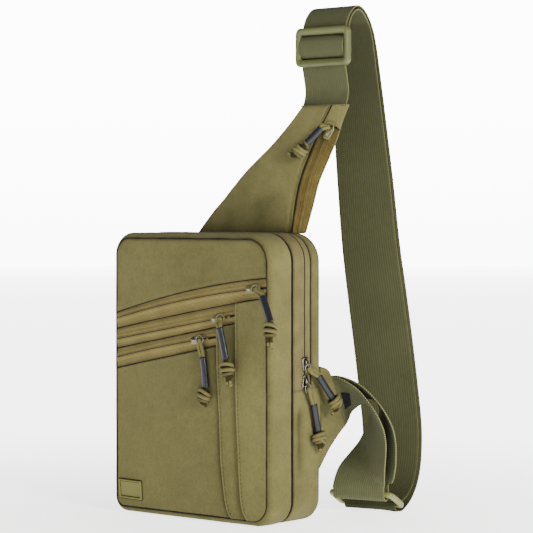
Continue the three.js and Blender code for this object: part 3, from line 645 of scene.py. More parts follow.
def s_of_right(z):
    """Perimeter position on the right side at height z."""
    return z - 123.5


def ring(name, ys, inset_of, mat, s0=0.0, s1=None, count=220, push=None, face_mat=None, solid=0.9, extra=None):
    """A sewn wall round the body. inset_of(y, s) is how far it lies inside the outline."""
    closed = s1 is None
    s1 = PER if closed else s1
    rows, uv = [], []
    N = count if closed else count + 1
    ucum = [0.0]
    for a, b in zip(ys, ys[1:]):
        ucum.append(ucum[-1] + math.hypot(b - a, 0.0) + 0.25 * abs(inset_of(b, 0) - inset_of(a, 0)))
    for j, y in enumerate(ys):
        row = []
        for i in range(N):
            s = s0 + (s1 - s0) * i / count
            x, z, nx, nz = outline_at(s, 0.0)
            d = inset_of(y, s)
            p = Vector((x - nx * d, y, z - nz * d))
            if extra:
                p = extra(p, y, s, Vector((nx, 0, nz)))
            row.append(p)
            uv.append((s, ucum[j]))
        rows.append(row)
    return grid(name, rows, mat, close_cols=closed, uv=uv, solid=solid, offset=-1.0, face_mat=face_mat, flip=False)


def on_right_upper(s):
    """1 along the upper part of the body where the main zip runs, 0 below its ends."""
    x, z, nx, nz = outline_at(s, 0)
    return ease((z - 108.0) / 9.0)


# ------------------------------------------------------------------ body walls
COLS = 240
S0 = s_of_right(114.2)


def g(y, y0, w):
    return math.exp(-((y - y0) / w) ** 2)


def col_s(i):
    return S0 + PER * i / COLS


def field(y, i, inset):
    s = col_s(i % COLS)
    x, z, nx, nz = outline_at(s, 0.0)
    d = inset(y, s, x, z)
    return Vector((x - nx * d, y, z - nz * d))


def wrinkle(x, y, z, k=1.0):
    return k * (0.75 * ns((x, y * 0.7, z), 36.0, 1) + 0.38 * ns((x, y, z), 15.0, 2) + 0.14 * ns((x, y, z), 6.5, 3))


def inset_front(y, s, x, z):
    d = 3.0 * g(y, -5.35, 1.15) - 0.35 * math.sin(math.pi * clamp((y + 33) / 27.0))
    if y < -28.5:
        d += 0.125 * (-28.5 - y) ** 2
    calm = clamp(min(y + 34.0, -5.4 - y) / 6.0)
    floor = 0.25 if z < 3 else 1.0
    return d + wrinkle(x, y, z, calm * floor)


def inset_main(y, s, x, z):
    up = ease((z - 107.0) / 12.0)
    d = 3.0 * g(y, -4.65, 1.1) - 0.35 * math.sin(math.pi * clamp((y + 4) / 38.0)) * (1 if z > 3 else 0.2)
    d += up * (1.0 * g(y, 10.0, 0.5) - 0.35 * g(y, 10.0, 2.6))
    d += 2.4 * up * g(y, 19.25, 0.95) + 0.25 * up * g(y, 19.25, 3)
    if y > 28.5:
        wing = ease((z - 44) / 8) * ease((131 - z) / 7) if x > 85 else 0.0
        d += 0.125 * (y - 28.5) ** 2 * (1 - wing) + 0.25 * wing
    # a soft upright dent below the end of the zip on the right
    if x > 88 and z < 108:
        d += 2.3 * g(y, 6.5, 3.6) * ease((106 - z) / 16) * ease((z - 34) / 34)
        d -= 0.9 * g(y, 17.0, 6.0) * ease((106 - z) / 16) * ease((z - 20) / 30)
    calm = clamp(min(y + 4.7, 34.0 - y) / 6.0)
    return d + wrinkle(x, y, z, calm * (0.25 if z < 3 else 1.0)) * (0.5 if up > 0.5 else 1.0)


def span(a, b, n):
    return [lerp(a, b, i / n) for i in range(n + 1)]


def block_of(name, ys, inset, c0, c1, mat, skip=None, solid=0.9, dense=1):
    cols = c1 - c0
    closed = cols == COLS
    rows, uv = [], []
    N = cols * dense + (0 if closed else 1)
    for y in ys:
        row = []
        for k in range(N):
            i = c0 + k / dense
            s = S0 + PER * (i % COLS) / COLS
            x, z, nx, nz = outline_at(s, 0.0)
            d = inset(y, s, x, z)
            row.append(Vector((x - nx * d, y, z - nz * d)))
            uv.append((S0 + PER * i / COLS, y))
        rows.append(row)
    verts = [p for r in rows for p in r]
    faces = []
    m = N
    for j in range(len(ys) - 1):
        for k in range(m if closed else m - 1):
            if skip and skip(ys[j], ys[j + 1], (c0 + k / dense)):
                continue
            k2 = (k + 1) % m
            faces.append((j * m + k, (j + 1) * m + k, (j + 1) * m + k2, j * m + k2))
    used = sorted({v for f in faces for v in f})
    where = {v: i for i, v in enumerate(used)}
    o = new_object(name, [verts[v] for v in used], [tuple(where[v] for v in f) for f in faces], [uv[v] for v in used], [mat])
    layer = o.data.uv_layers["mm"]
    for poly in o.data.polygons:
        us = [layer.data[li].uv[0] for li in poly.loop_indices]
        if max(us) - min(us) > PER / 2:
            for li in poly.loop_indices:
                if layer.data[li].uv[0] < S0 + PER / 2:
                    layer.data[li].uv = (layer.data[li].uv[0] + PER, layer.data[li].uv[1])
    if solid:
        md = o.modifiers.new("thick", "SOLIDIFY")
        md.thickness = solid * MM
        md.offset = -1.0
    return o


ysf = [-34.35, -34.1, -33.7, -33.1, -32.3, -31.3, -30.0] + span(-28.5, -8.5, 12) + [-7.6, -6.9, -6.4, -6.0, -5.7, -5.45, -5.25]
front_gusset = block_of("front_gusset_cloth", ysf, inset_front, 0, COLS, CLOTH)
shade(front_gusset, lambda x, y, z: 0.95 * ex(abs(y + 5.2), 1.1) + 0.7 * ex(abs(y + 34.3), 1.3) + 0.2 * ns((x, y, z), 24, 60) + 0.12 * ns((x, y, z), 9, 61) + (0.25 * ex(z, 5)))
finish_piece(front_gusset, "bag", "cloth", "front_gusset")

LEFT_COL = 125
ys_t1 = [-4.75, -4.5, -4.2, -3.8, -3.2, -2.4] + span(-1.4, 6.5, 7) + [7.3, 8.0, 8.6, 9.1, 9.45, 9.7]
ys_t2 = [10.3, 10.55, 10.9, 11.4, 12.0, 12.8] + span(13.8, 16.2, 3) + [17.0, 17.6, 18.1, 18.5, 18.8, 19.05]
tape_f = block_of("main_zip_tape_front_cloth", ys_t1, inset_main, 0, LEFT_COL, TAN, solid=0.7)
shade(tape_f, lambda x, y, z: 0.95 * ex(abs(y + 4.9), 1.1) + 0.55 * ex(abs(y - 10), 0.7) + 0.25 * ns((x, y, z), 12, 62) + 0.15 * ns((x, y, z), 5, 62))
finish_piece(tape_f, "bag", "main_tape", "main_zip_tape_front")
tape_r = block_of("main_zip_tape_rear_cloth", ys_t2, inset_main, 0, LEFT_COL, TAN, solid=0.7)
shade(tape_r, lambda x, y, z: 0.95 * ex(abs(y - 19.2), 0.9) + 0.55 * ex(abs(y - 10), 0.7) + 0.2 * ns((x, y, z), 9, 63))
finish_piece(tape_r, "bag", "main_tape", "main_zip_tape_rear")
ys_l = [-4.75, -4.5, -4.2, -3.8, -3.2, -2.4] + span(-1.4, 17.0, 13) + [17.8, 18.4, 18.8, 19.05, 19.3, 19.55, 19.8, 20.1, 20.5, 21.1, 22.0] + span(23.4, 28.5, 4) + [30.0, 31.3, 32.3, 33.1, 33.7, 34.1, 34.35]
lower = block_of("main_gusset_cloth", ys_l, inset_main, 0, COLS, CLOTH, skip=lambda a, b, i: b <= 19.31 and i < LEFT_COL)
def lower_shade(x, y, z):
    v = 0.95 * ex(abs(y + 4.9), 1.1) + 0.28 * ns((x, y, z), 22, 64) + 0.16 * ns((x, y, z), 9, 65) + 0.3 * ex(z, 6) + 0.3 * ex(34.5 - y, 1.2)
    if z > 112:
        v += 0.95 * ex(abs(y - 19.3), 0.9) + 0.15
    elif x > 85:
        v += 0.55 * g(y, 5.0, 4.5) * ease((104 - z) / 14) * ease((z - 30) / 30) - 0.12 * g(y, 20, 7)
    return v


shade(lower, lower_shade)
finish_piece(lower, "bag", "cloth", "main_gusset", "rear_gusset")

# fine stitch line beside the main zip: only the first row listed, on the front tape next to the coil, is sewn
for k, (yy, mat) in enumerate(((8.15, THREAD_L), (-3.2, THREAD_L))):
    path, nor = [], []
    for i in range(0, LEFT_COL * 2 + 1):
        s = col_s(i / 2)
        x, z, nx, nz = outline_at(s, 0.0)
        d = inset_main(yy, s, x, z)
        path.append(Vector((x - nx * d, yy, z - nz * d)))
        nor.append(Vector((nx, 0, nz)))
    if k == 0:
        st = stitches("main_zip_stitches", path[2:-2], nor[2:-2], THREAD_L, 1.15, 0.85, 0.34, 0.06)
        finish_piece(st, "bag", "main_tape")
# the main zip's coil: two rows of interlocked loops in the slot between the tapes
path, nor = [], []
for i in range(0, LEFT_COL * 2 + 1):
    s = col_s(i / 2)
    x, z, nx, nz = outline_at(s, 1.3)
    path.append(Vector((x - nx * 1.35, 10.0, z - nz * 1.35)))
    nor.append(Vector((nx, 0, nz)))
coil = stitches("main_zip_coil_teeth", path, nor, COIL, 0.75, 0.45, 1.3, -0.2)
finish_piece(coil, "bag", "main_tape")


def seam_shadow_line(name, y, inset, extra_in, r, c0=0, c1=COLS, mat=None):
    """A black tube down in the crease between two walls: painted shade in the seam."""
    closed = c1 - c0 == COLS
    pts = []
    for i in range(c0 * 2, c1 * 2 + (0 if closed else 1)):
        s = col_s(i / 2)
        x, z, nx, nz = outline_at(s, 0.0)
        d = inset(y, s, x, z) + extra_in
        pts.append(Vector((x - nx * d, y, z - nz * d)))
    o = tube(name, pts, r, mat or SHADE_AND_MELT_BLACK, sides=8, closed=closed, cap=not closed)
    return finish_piece(o, "bag", "cloth")


# black tubes down in the creases of the seams: painted shade
seam_shadow_line("seam_mid_shadow", -5.0, inset_main, -1.75, 0.8)
seam_shadow_line("seam_rear_shadow", 19.2, inset_main, -1.35, 0.62, 0, LEFT_COL)
# a black zigzag tube along the main zip's slot: painted shade between the coil's teeth
pts = []
for i in range(0, LEFT_COL * 7 + 1):
    s_ = col_s(i / 7)
    x, z, nx, nz = outline_at(s_, 0.0)
    d = inset_main(10.0, s_, x, z) - 0.55
    pts.append(Vector((x - nx * d, 10.0 + (0.3 if i % 2 else -0.3), z - nz * d)))
finish_piece(tube("coil_slot_shadow", pts, 0.4, SHADE_AND_MELT_BLACK, sides=6), "bag", "cloth")

# ------------------------------------------------------------------ front face
FZ0, FZ1, FHW, FR = 4.7, 242.3, 86.8, 21.3


FACE_R = {k: v - 4.7 for k, v in CORNERS.items()}


def xo(z, side=1):
    lo, hi = (FACE_R["br"], FACE_R["tr"]) if side > 0 else (FACE_R["bl"], FACE_R["tl"])
    if z < FZ0 + lo:
        return FHW - lo + math.sqrt(max(0.0, lo * lo - (FZ0 + lo - z) ** 2))
    if z > FZ1 - hi:
        return FHW - hi + math.sqrt(max(0.0, hi * hi - (z - FZ1 + hi) ** 2))
    return FHW


def border(x, z):
    """Distance inside the front face's rounded outline."""
    r = FACE_R[("b" if z < 123 else "t") + ("l" if x < 0 else "r")]
    qx = abs(x) - (FHW - r)
    qz = abs(z - (FZ0 + FZ1) / 2) - ((FZ1 - FZ0) / 2 - r)
    d = math.hypot(max(qx, 0), max(qz, 0)) + min(max(qx, qz), 0) - r
    return -d


def roll(d, r, t):
    if d >= r:
        return 0.0
    d = max(d, 0.0)
    return t * (1 - math.sqrt(max(0.0, 1 - (1 - d / r) ** 2)))


def puff(x, z):
    return 0.75 * (1 - (x / 88) ** 2) * (1 - ((z - 123) / 122) ** 2) + 0.6 * ns((x, 0, z), 48, 5) + 0.26 * ns((x, 0, z), 18, 6) + 0.07 * ns((x, 0, z), 7, 7)


EDGE = [
    [(-95, 174.1), (-86.7, 176.6), (-54.1, 185.4), (-16.2, 194.3), (20.7, 201.4), (56.6, 206.9), (87.4, 210.2), (95, 210.8)],
    [(-95, 159.8), (-86.2, 161.6), (-54.1, 168.2), (-16.2, 175.4), (20.7, 182.1), (38.8, 185.3), (76.1, 191.4), (95, 194.0)],
    [(-95, 142.3), (-84.4, 144.4), (-63.8, 148.4), (-16.2, 157.4), (29.7, 166.3), (51.4, 170.6), (60, 172.3)],
    [(-95, 124.9), (-85.3, 127.0), (-54.2, 133.5), (-16.3, 141.0), (9.7, 146.3), (29.7, 150.6), (45, 153.8)],
]
L3 = [(-5, 71), (6.1, 65.6), (12, 62.2), (25, 59.1), (67.2, 56.3), (109.5, 54.5), (145.5, 53.9), (200, 53.9)]
L2 = [(-5, 52.5), (5.8, 47.1), (12, 43.4), (23.5, 40.4), (51.6, 36.8), (93.9, 34.8), (131.4, 32.5), (180, 31.4)]
ARCS = [(186.4, -863.2, 1069.6), None, (275.1, -1467.2, 1644.0)]


def arc_z(k, x):
    if k == 1:
        return 152.9 + (x + 85.2) * 0.1805
    cx, cz, r = ARCS[k]
    return cz + math.sqrt(r * r - (x - cx) ** 2)


def panel(name, xl, xr, zb, zt, base, rolls, nx=70, nz=90, thick=1.1, mat=CLOTH, dist_top=None, extra=None):
    """A flat-cut panel of the front face. xl, xr are functions of z and zb, zt of x. rolls(x, z) says how far an edge is turned under."""
    edge = [0, 0.12, 0.35, 0.7, 1.15, 1.8, 2.7, 4.0]
    U = [("a", d) for d in edge] + [("m", i / nx) for i in range(1, nx)] + [("b", d) for d in reversed(edge)]
    W = [("a", d) for d in edge] + [("m", i / nz) for i in range(1, nz)] + [("b", d) for d in reversed(edge)]
    rows, uv = [], []
    for kv, wv in W:
        row = []
        for ku, uvv in U:
            x, z = 0.0, 100.0
            for _ in range(7):
                a, b = xl(z), xr(z)
                w = b - a
                e = min(4.4, w * 0.45)
                x = a + uvv * min(1, e / 4.4) if ku == "a" else b - uvv * min(1, e / 4.4) if ku == "b" else lerp(a + e, b - e, uvv)
                c, d = zb(x), zt(x)
                h = d - c
                f = min(4.4, h * 0.45)
                z = c + wv * min(1, f / 4.4) if kv == "a" else d - wv * min(1, f / 4.4) if kv == "b" else lerp(c + f, d - f, wv)
            y = base - puff(x, z) + rolls(x, z) + (extra(x, z) if extra else 0.0)
            row.append(Vector((x, y, z)))
            uv.append((x, z))
        rows.append(row)
    return grid(name, rows, mat, uv=uv, solid=thick, offset=-1.0, flip=False)


slope = 0.98
NEG = lambda z: -xo(z, -1)
POS = lambda z: xo(z)
seam = lambda x, z: roll(border(x, z), 2.6, 2.4)
up = panel("front_panel_upper_cloth", NEG, POS, lambda x: curve(EDGE[0], x), lambda x: FZ1, -35.1,
           lambda x, z: max(seam(x, z), roll((z - curve(EDGE[0], x)) * slope, 1.3, 1.5)), nz=40)
def face_shade(x, z):
    return 0.26 * ease((z - 70) / 120) + 0.75 * ex(border(x, z), 1.2) + 0.11 * ns((x, 0, z), 60, 70) + 0.07 * ns((x, 0, z), 16, 71) + 0.05 * ns((x, 0, z), 5, 71)


shade(up, lambda x, y, z: face_shade(x, z) + 0.35 * ex(z - curve(EDGE[0], x), 1.0) - 0.12 * g(z - curve(EDGE[0], x), 2.0, 1.0))
finish_piece(up, "bag", "cloth", "front_panel_upper")
left = panel("pocket_panel_left_cloth", NEG, lambda z: curve(L2, z) + 1.6, lambda x: FZ0, lambda x: curve(EDGE[3], x), -34.8,
             lambda x, z: max(seam(x, z), roll((curve(EDGE[3], x) - z) * slope, 1.2, 1.2)))
shade(left, lambda x, y, z: face_shade(x, z) + 0.6 * ex(curve(L2, z) - x, 2.0) + 0.2 * ex(curve(L2, z) - x, 8.0) + 0.3 * ex(curve(EDGE[3], x) - z, 0.7) - 0.12 * g(curve(EDGE[3], x) - z, 1.8, 1.0))
finish_piece(left, "bag", "cloth", "pocket_panel_left")


middle = panel("pocket_panel_middle_cloth", lambda z: curve(L2, z), lambda z: curve(L3, z) + 1.6, lambda x: FZ0, lambda x: curve(EDGE[2], x), -35.9,
               lambda x, z: max(seam(x, z), roll((curve(EDGE[2], x) - z) * slope, 1.2, 1.2), roll(x - curve(L2, z), 0.9, 1.3)), nx=18,
               extra=lambda x, z: -0.25 * g(x - curve(L2, z), 1.4, 1.0) + 1.0 * ease((x - curve(L2, z) - 7) / 11))
shade(middle, lambda x, y, z: face_shade(x, z) + 0.6 * ex(curve(L3, z) - x, 2.0) + 0.15 * ex(curve(L3, z) - x, 7.0) - 0.28 * g(x - curve(L2, z), 1.2, 0.9) + 0.22 * g(x - curve(L2, z), 3.0, 0.8))
finish_piece(middle, "bag", "cloth", "pocket_panel_middle")
right = panel("pocket_panel_right_cloth", lambda z: curve(L3, z), POS, lambda x: FZ0, lambda x: curve(EDGE[1], x), -37.0,
              lambda x, z: max(seam(x, z), roll((curve(EDGE[1], x) - z) * slope, 1.2, 1.3), roll(x - curve(L3, z), 0.9, 1.4)), nx=34,
              extra=lambda x, z: -0.25 * g(x - curve(L3, z), 1.4, 1.0) + 1.9 * ease((x - curve(L3, z) - 7) / 22))
shade(right, lambda x, y, z: face_shade(x, z) - 0.28 * g(x - curve(L3, z), 1.2, 0.9) + 0.22 * g(x - curve(L3, z), 3.0, 0.8) - 0.1)
finish_piece(right, "bag", "cloth", "pocket_panel_right")
for nm, tab, base, z1 in (("fold_shadow_middle", L2, -34.7, 158.5), ("fold_shadow_right", L3, -35.2, 186.0)):
    pts = [Vector((curve(tab, z) - 0.15, base - puff(curve(tab, z), z), z)) for z in span(6.5, z1, 120)]
    finish_piece(tube(nm, pts, [0.42 + 0.25 * ns((0, 0, q.z), 12, 8) for q in pts], SHADE_AND_MELT_BLACK, sides=8), "bag", "cloth")

for nm, tab, base, z1 in (("pocket_stitches_middle", L2, -35.9, 160.5), ("pocket_stitches_right", L3, -37.0, 185.0)):
    pth = []
    for i in range(160):
        z = lerp(z1 - 1.5, 7.5, i / 159)
        x = curve(tab, z) + 2.9
        pth.append(Vector((x, base - puff(x, z) - 0.25 * g(2.9, 1.4, 1.0), z)))
    st = stitches(nm, pth, [Vector((0, -1, 0))] * len(pth), THREAD, 2.3, 1.35, 0.5, 0.1)
    finish_piece(st, "bag", "cloth")

SX = (72.0, 33.0, 9.5)
ENDX = (86.6, 55.4, 33.2)
for k in range(3):
    top_e, low_e = EDGE[k], EDGE[k + 1]
    rows, uv = [], []
    offs = [-4.9, -4.1, -3.5, -2.9, -2.3, -1.7, -1.1, -0.6]
    N = 130
    x0 = -86.4
    for i in range(N + 1):
        x = lerp(x0, ENDX[k], i / N)
        zc = arc_z(k, x)
        zu, zl = curve(top_e, x) + 1.9, curve(low_e, x) - 1.9
        gap = 0.30 + 1.25 * ease((x - SX[k] - 6.5) / max(4.0, (ENDX[k] - SX[k] - 9.0)))
        ds = [zl - zc, lerp(zl - zc, -5.4, 0.4), -5.7] + offs + [-gap, 0.0, gap] + [-o for o in reversed(offs)] + [5.7, lerp(zu - zc, 5.4, 0.4), zu - zc]
        row = []
        for j, d in enumerate(ds):
            d = max(zl - zc, min(zu - zc, d))
            z = zc + d
            ridge = 1.5 * g(d, 0, 3.6) - 0.3 * g(abs(d), 4.6, 0.8) - 0.25 * g(abs(d), 1.7, 0.35) - 0.5 * g(d - (zl - zc), 0, 1.8) - 0.5 * g(d - (zu - zc), 0, 1.8)
            dip = 0.95 if abs(d) < gap * 0.6 else 0.0
            y = -33.85 - puff(x, z) - ridge + dip
            row.append(Vector((x, y, z)))
            uv.append((x, d))
        rows.append(row)
    mid = 3 + len(offs)
    # the rows in the slit at the middle of the tape take the black: painted shade down in the slit between the coil
    # halves
    tp = grid(f"zip_tape_front_{k + 1}_cloth", rows, [TAPE, SHADE_AND_MELT_BLACK], uv=uv, solid=0.7, offset=-1.0, flip=True, face_mat=lambda i, j, mid=mid: 1 if j in (mid, mid + 1) else 0)
    shade(tp, lambda x, y, z, k=k: 0.75 * ex(curve(EDGE[k], x) - z, 1.6) + 0.85 * ex(z - curve(EDGE[k + 1], x), 1.3) + 0.4 * g(abs(z - arc_z(k, x)), 0.9, 0.5) + 0.14 * g(abs(z - arc_z(k, x)), 4.4, 0.6) - 0.1 * g(abs(z - arc_z(k, x)), 2.6, 1.2) + 0.15 * ns((x, 0, z), 14, 72))
    finish_piece(tp, "bag", "zip_tape", f"zip_tape_front_{k + 1}", f"zip_coil_front_{k + 1}")

# shadow lines under the folds, and painted shade in the crease round the front face: black tubes
for k, (tab, x1, dz) in enumerate(((EDGE[0], 86.4, 0.35), (EDGE[1], 86.4, -0.3), (EDGE[2], 55.0, -0.3), (EDGE[3], 33.6, -0.3))):
    pts = [Vector((x, -34.15 - puff(x, curve(tab, x)), curve(tab, x) - dz)) for x in span(-86.2, x1, 120)]
    finish_piece(tube(f"fold_shadow_{k}", pts, [0.42 + 0.2 * ns((q.x, 0, 0), 9, k) for q in pts], SHADE_AND_MELT_BLACK, sides=8), "bag", "cloth")
pts = []
for i in range(480):
    x, z, nx, nz = outline_at(PER * i / 480, 0.0)
    pts.append(Vector((x - nx * 4.7, -33.9, z - nz * 4.7)))
finish_piece(tube("front_crease_shadow", pts, [0.62 + 0.3 * ns((q.x, 0, q.z), 14, 9) for q in pts], SHADE_AND_MELT_BLACK, sides=8, closed=True, cap=False), "bag", "cloth")

# blank moulded patch: plate and raised frame, with black tubes for painted shade in the groove inside the frame and
# round the patch's edge
def quad_loop(pts, r=1.2, seg=4):
    out = []
    n = len(pts)
    for i in range(n):
        p, a, b = Vector(pts[i]), Vector(pts[i - 1]), Vector(pts[(i + 1) % n])
        da, db = (a - p).normalized(), (b - p).normalized()
        for q in range(seg + 1):
            t = q / seg
            p1, p2 = p + da * r, p + db * r
            out.append((p1 * (1 - t) ** 2 + p * 2 * t * (1 - t) + p2 * t ** 2))
    return out


def inset_poly(P, d):
    c = sum(P, Vector((0, 0))) / len(P)
    out = []
    for p in P:
        v = p - c
        out.append(c + Vector((v.x * (1 - d / 14.0), v.y * (1 - d / 8.2))))
    return out


PB = quad_loop([(-83, 28.9), (-81.6, 12.5), (-54.6, 12.0), (-56, 28.4)])
lay = [(0.0, 0.5), (0.0, -1.3), (0.25, -1.75), (1.25, -1.75), (1.5, -1.2), (1.7, -0.85)]
rows = [[Vector((p.x, -34.9 - puff(p.x, p.y) + h, p.y)) for p in inset_poly(PB, d)] for d, h in lay]
for f in (0.75, 0.5, 0.25, 0.02):
    last = inset_poly(PB, 1.7)
    c = sum(last, Vector((0, 0))) / len(last)
    rows.append([Vector((p.x, -34.9 - puff(p.x, p.y) - 0.85, p.y)) for p in [c + (q - c) * f for q in last]])
patch = grid("rubber_patch_moulded", rows, RUBBER, close_cols=True)
finish_piece(patch, "bag", "patch", "rubber_patch")
pts = [Vector((p.x, -34.9 - puff(p.x, p.y) - 0.95, p.y)) for p in inset_poly(PB, 1.75)]
finish_piece(tube("patch_groove_shadow", pts, 0.28, SHADE_AND_MELT_BLACK, sides=6, closed=True, cap=False), "bag", "patch")
pts = [Vector((p.x, -34.9 - puff(p.x, p.y) - 0.1, p.y)) for p in inset_poly(PB, -0.35)]
finish_piece(tube("patch_edge_shadow", pts, 0.35, SHADE_AND_MELT_BLACK, sides=6, closed=True, cap=False), "bag", "patch")

# ------------------------------------------------------------------ back
def back_panel_piece():
    rows, uv = [], []
    for wv in [0, 0.004, 0.012, 0.025] + span(0.04, 0.96, 60) + [0.975, 0.988, 0.996, 1.0]:
        z = lerp(FZ0, FZ1, wv)
        row = []
        for u in [0, 0.006, 0.016, 0.03] + span(0.05, 0.95, 50) + [0.97, 0.984, 0.994, 1.0]:
            x = lerp(-xo(z, -1), xo(z), u)
            row.append(Vector((x, 35.0 - roll(border(x, z), 2.6, 1.6) + 0.15 * ns((x, 9, z), 25), z)))
            uv.append((x, z))
        rows.append(row)
    o = grid("back_panel_cloth", rows, CLOTH, uv=uv, solid=0.8, offset=-1.0, flip=True)
    finish_piece(o, "bag", "cloth", "back_panel")


back_panel_piece()

# ------------------------------------------------------------------ back pad (a padded cushion of spacer mesh)
def pad_mesh(grow=0.0, y0=35.6, y1=40.4, nz=44, nx=34):
    IN = 14.0
    rows_f, rows_b = [], []

    def xw(z):
        lo, hi = IN, TOP - IN
        z = clamp(z, lo, hi)
        r, hw = 16.0, HW - IN
        if z < lo + r:
            return hw - r + math.sqrt(max(0.0, r * r - (lo + r - z) ** 2))
        if z > hi - r:
            return hw - r + math.sqrt(max(0.0, r * r - (z - hi + r) ** 2))
        return hw
    verts, faces = [], []
    for side, y in ((0, y0), (1, y1)):
        for i in range(nz + 1):
            z = lerp(IN, TOP - IN, i / nz)
            for j in range(nx + 1):
                verts.append(Vector((lerp(-xw(z), xw(z), j / nx), y, z)))
    m, half = nx + 1, (nz + 1) * (nx + 1)
    for i in range(nz):
        for j in range(nx):
            a, b, c, d = i * m + j, i * m + j + 1, (i + 1) * m + j + 1, (i + 1) * m + j
            faces.append((a, b, c, d))
            faces.append((half + a, half + d, half + c, half + b))
    loop = [j for j in range(m)] + [i * m + nx for i in range(1, nz + 1)] + [nz * m + j for j in range(nx - 1, -1, -1)] + [i * m for i in range(nz - 1, 0, -1)]
    for k in range(len(loop)):
        a, b = loop[k], loop[(k + 1) % len(loop)]
        faces.append((a, half + a, half + b, b))
    return verts, faces


pv, pf = pad_mesh()
pad = new_object("back_pad_cushion", pv, pf, [(p.x, p.z) for p in pv], [MESHM])
sc = bpy.context.scene
start_co = [v.co.copy() for v in pad.data.vertices]
pin = pad.vertex_groups.new(name="pin")
nv = len(pv) // 2
for i, v in enumerate(pad.data.vertices):
    w = 1.0 if i < nv else 0.0
    pin.add([i], w, "REPLACE")
cl = pad.modifiers.new("cloth", "CLOTH")
cl.settings.vertex_group_mass = "pin"
cl.settings.use_pressure = True
cl.settings.uniform_pressure_force = 4.0
cl.settings.effector_weights.gravity = 0.0
cl.settings.quality = 6
cl.settings.tension_stiffness = 30
cl.settings.compression_stiffness = 30
cl.settings.bending_stiffness = 3
cl.point_cache.frame_start, cl.point_cache.frame_end = 1, 20
for f in range(1, 21):
    sc.frame_set(f)
apply_all(pad)
sc.frame_set(1)
for v, a in zip(pad.data.vertices, start_co):
    d = v.co - a
    if d.length > 0.0028:
        v.co = a + d * (0.0028 / d.length)
pad_sub = pad.modifiers.new("sub", "SUBSURF")
pad_sub.levels = pad_sub.render_levels = 1
finish_piece(pad, "bag", "mesh", "back_mesh_pad")

# a bound edge round the pad
def pad_outline(IN, y, n=200):
    per, pts = 0, []
    for i in range(n):
        s = PER * i / n
        x, z, nx_, nz_ = outline_at(s, 0.0)
        pts.append(Vector((x - nx_ * IN, y, z - nz_ * IN)))
    return pts


piping = tube("back_pad_binding", pad_outline(13.4, 36.6), 1.5, WEB, sides=10, closed=True, cap=False)
finish_piece(piping, "bag", "mesh")

# ------------------------------------------------------------------ the wing above the body
WL = [(244, -38), (262, -26.5), (280.3, -12.5), (304, 6), (324, 26.5), (342, 40.5), (362, 54.5)]
WR = [(244, 72.5), (265, 70), (284.1, 68.7), (299.7, 69.7), (314.4, 72.7), (337.8, 78.8), (357.2, 85.5), (362, 87)]
WB = [(244, 73), (271.2, 77.3), (290, 79.6), (301.4, 83.1), (310, 86.2), (328, 92), (346.4, 96), (356, 99), (362, 100)]


def lean_y(z):
    return 15 + (z - 247) * 0.354


def back_y(z):
    return 33.6 + (z - 247.5) * 0.243


def wing_front():
    rows, uv = [], []
    us = [0, 0.006, 0.014, 0.026, 0.045] + span(0.07, 0.93, 54) + [0.95, 0.965, 0.977, 0.987, 0.994, 1.0]
    zs = span(246.6, 353.0, 96) + [354.2, 355.4, 356.4, 357.2, 357.8, 358.1]
    for z in zs:
        a, b = curve(WL, z) + 0.4, curve(WR, z)
        row = []
        for u in us:
            x = lerp(a, b, u)
            dl, dr = x - a, b - x
            y = lean_y(z) + 0.5
            y -= 2.6 * math.sin(math.pi * clamp((z - 244) / 116)) ** 0.6 * (math.sin(math.pi * u) ** 0.55 if 0 < u < 1 else 0) * (0.5 + 0.5 * clamp((b - a) / 90))
            y -= 0.9 * ns((x, 0, z), 32, 21) + 0.4 * ns((x, 0, z), 13, 22)
            y += 1.6 * g(x, 20 + (z - 262) * 0.4, 16) * g(z, 268, 12)
            y += roll(dl, 2.6, 3.0) + roll(dr, 2.2, 3.4) + 1.0 * g(dr, 3.4, 1.2)
            y += roll(358.4 - z, 3.2, 2.2)
            row.append(Vector((x, y, z)))
            uv.append((x, z))
        rows.append(row)
    o = grid("wing_front_cloth", rows, CLOTH, uv=uv, solid=0.9, offset=-1.0)
    return shade(o, lambda x, y, z: 0.5 * ex(z - 247, 5) + 0.25 * ex(z - 247, 22) + 0.75 * ex(curve(WR, z) - x, 1.0) + 0.2 * ex(curve(WR, z) - x, 9) + 0.3 * g(x, 22 + (z - 262) * 0.5, 20) * g(z, 270, 14) + 0.3 * ns((x, 0, z), 30, 73) + 0.14 * ns((x, 0, z), 11, 74) - 0.1)


finish_piece(wing_front(), "bag", "cloth", "wing_front_panel")


def wing_back():
    rows, uv = [], []
    us = [0, 0.008, 0.02, 0.04] + span(0.07, 0.93, 44) + [0.96, 0.98, 0.992, 1.0]
    zs = span(247.2, 354.0, 80) + [355.4, 356.6, 357.6, 358.1]
    for z in zs:
        a, b = curve(WL, z) - 0.4, curve(WB, z) + 0.6
        row = []
        for u in us:
            x = lerp(a, b, u)
            y = back_y(z) + 1.35 + 0.9 * (math.sin(math.pi * u) ** 0.5 if 0 < u < 1 else 0) + 0.35 * ns((x, 3, z), 28, 31)
            y -= roll(x - a, 1.8, 1.2) + roll(b - x, 1.2, 1.0)
            row.append(Vector((x, y, z)))
            uv.append((x, z))
        rows.append(row)
    return grid("wing_back_cloth", rows, CLOTH, uv=uv, solid=1.0, offset=-1.0, flip=True)


finish_piece(wing_back(), "bag", "cloth", "wing_back_panel")


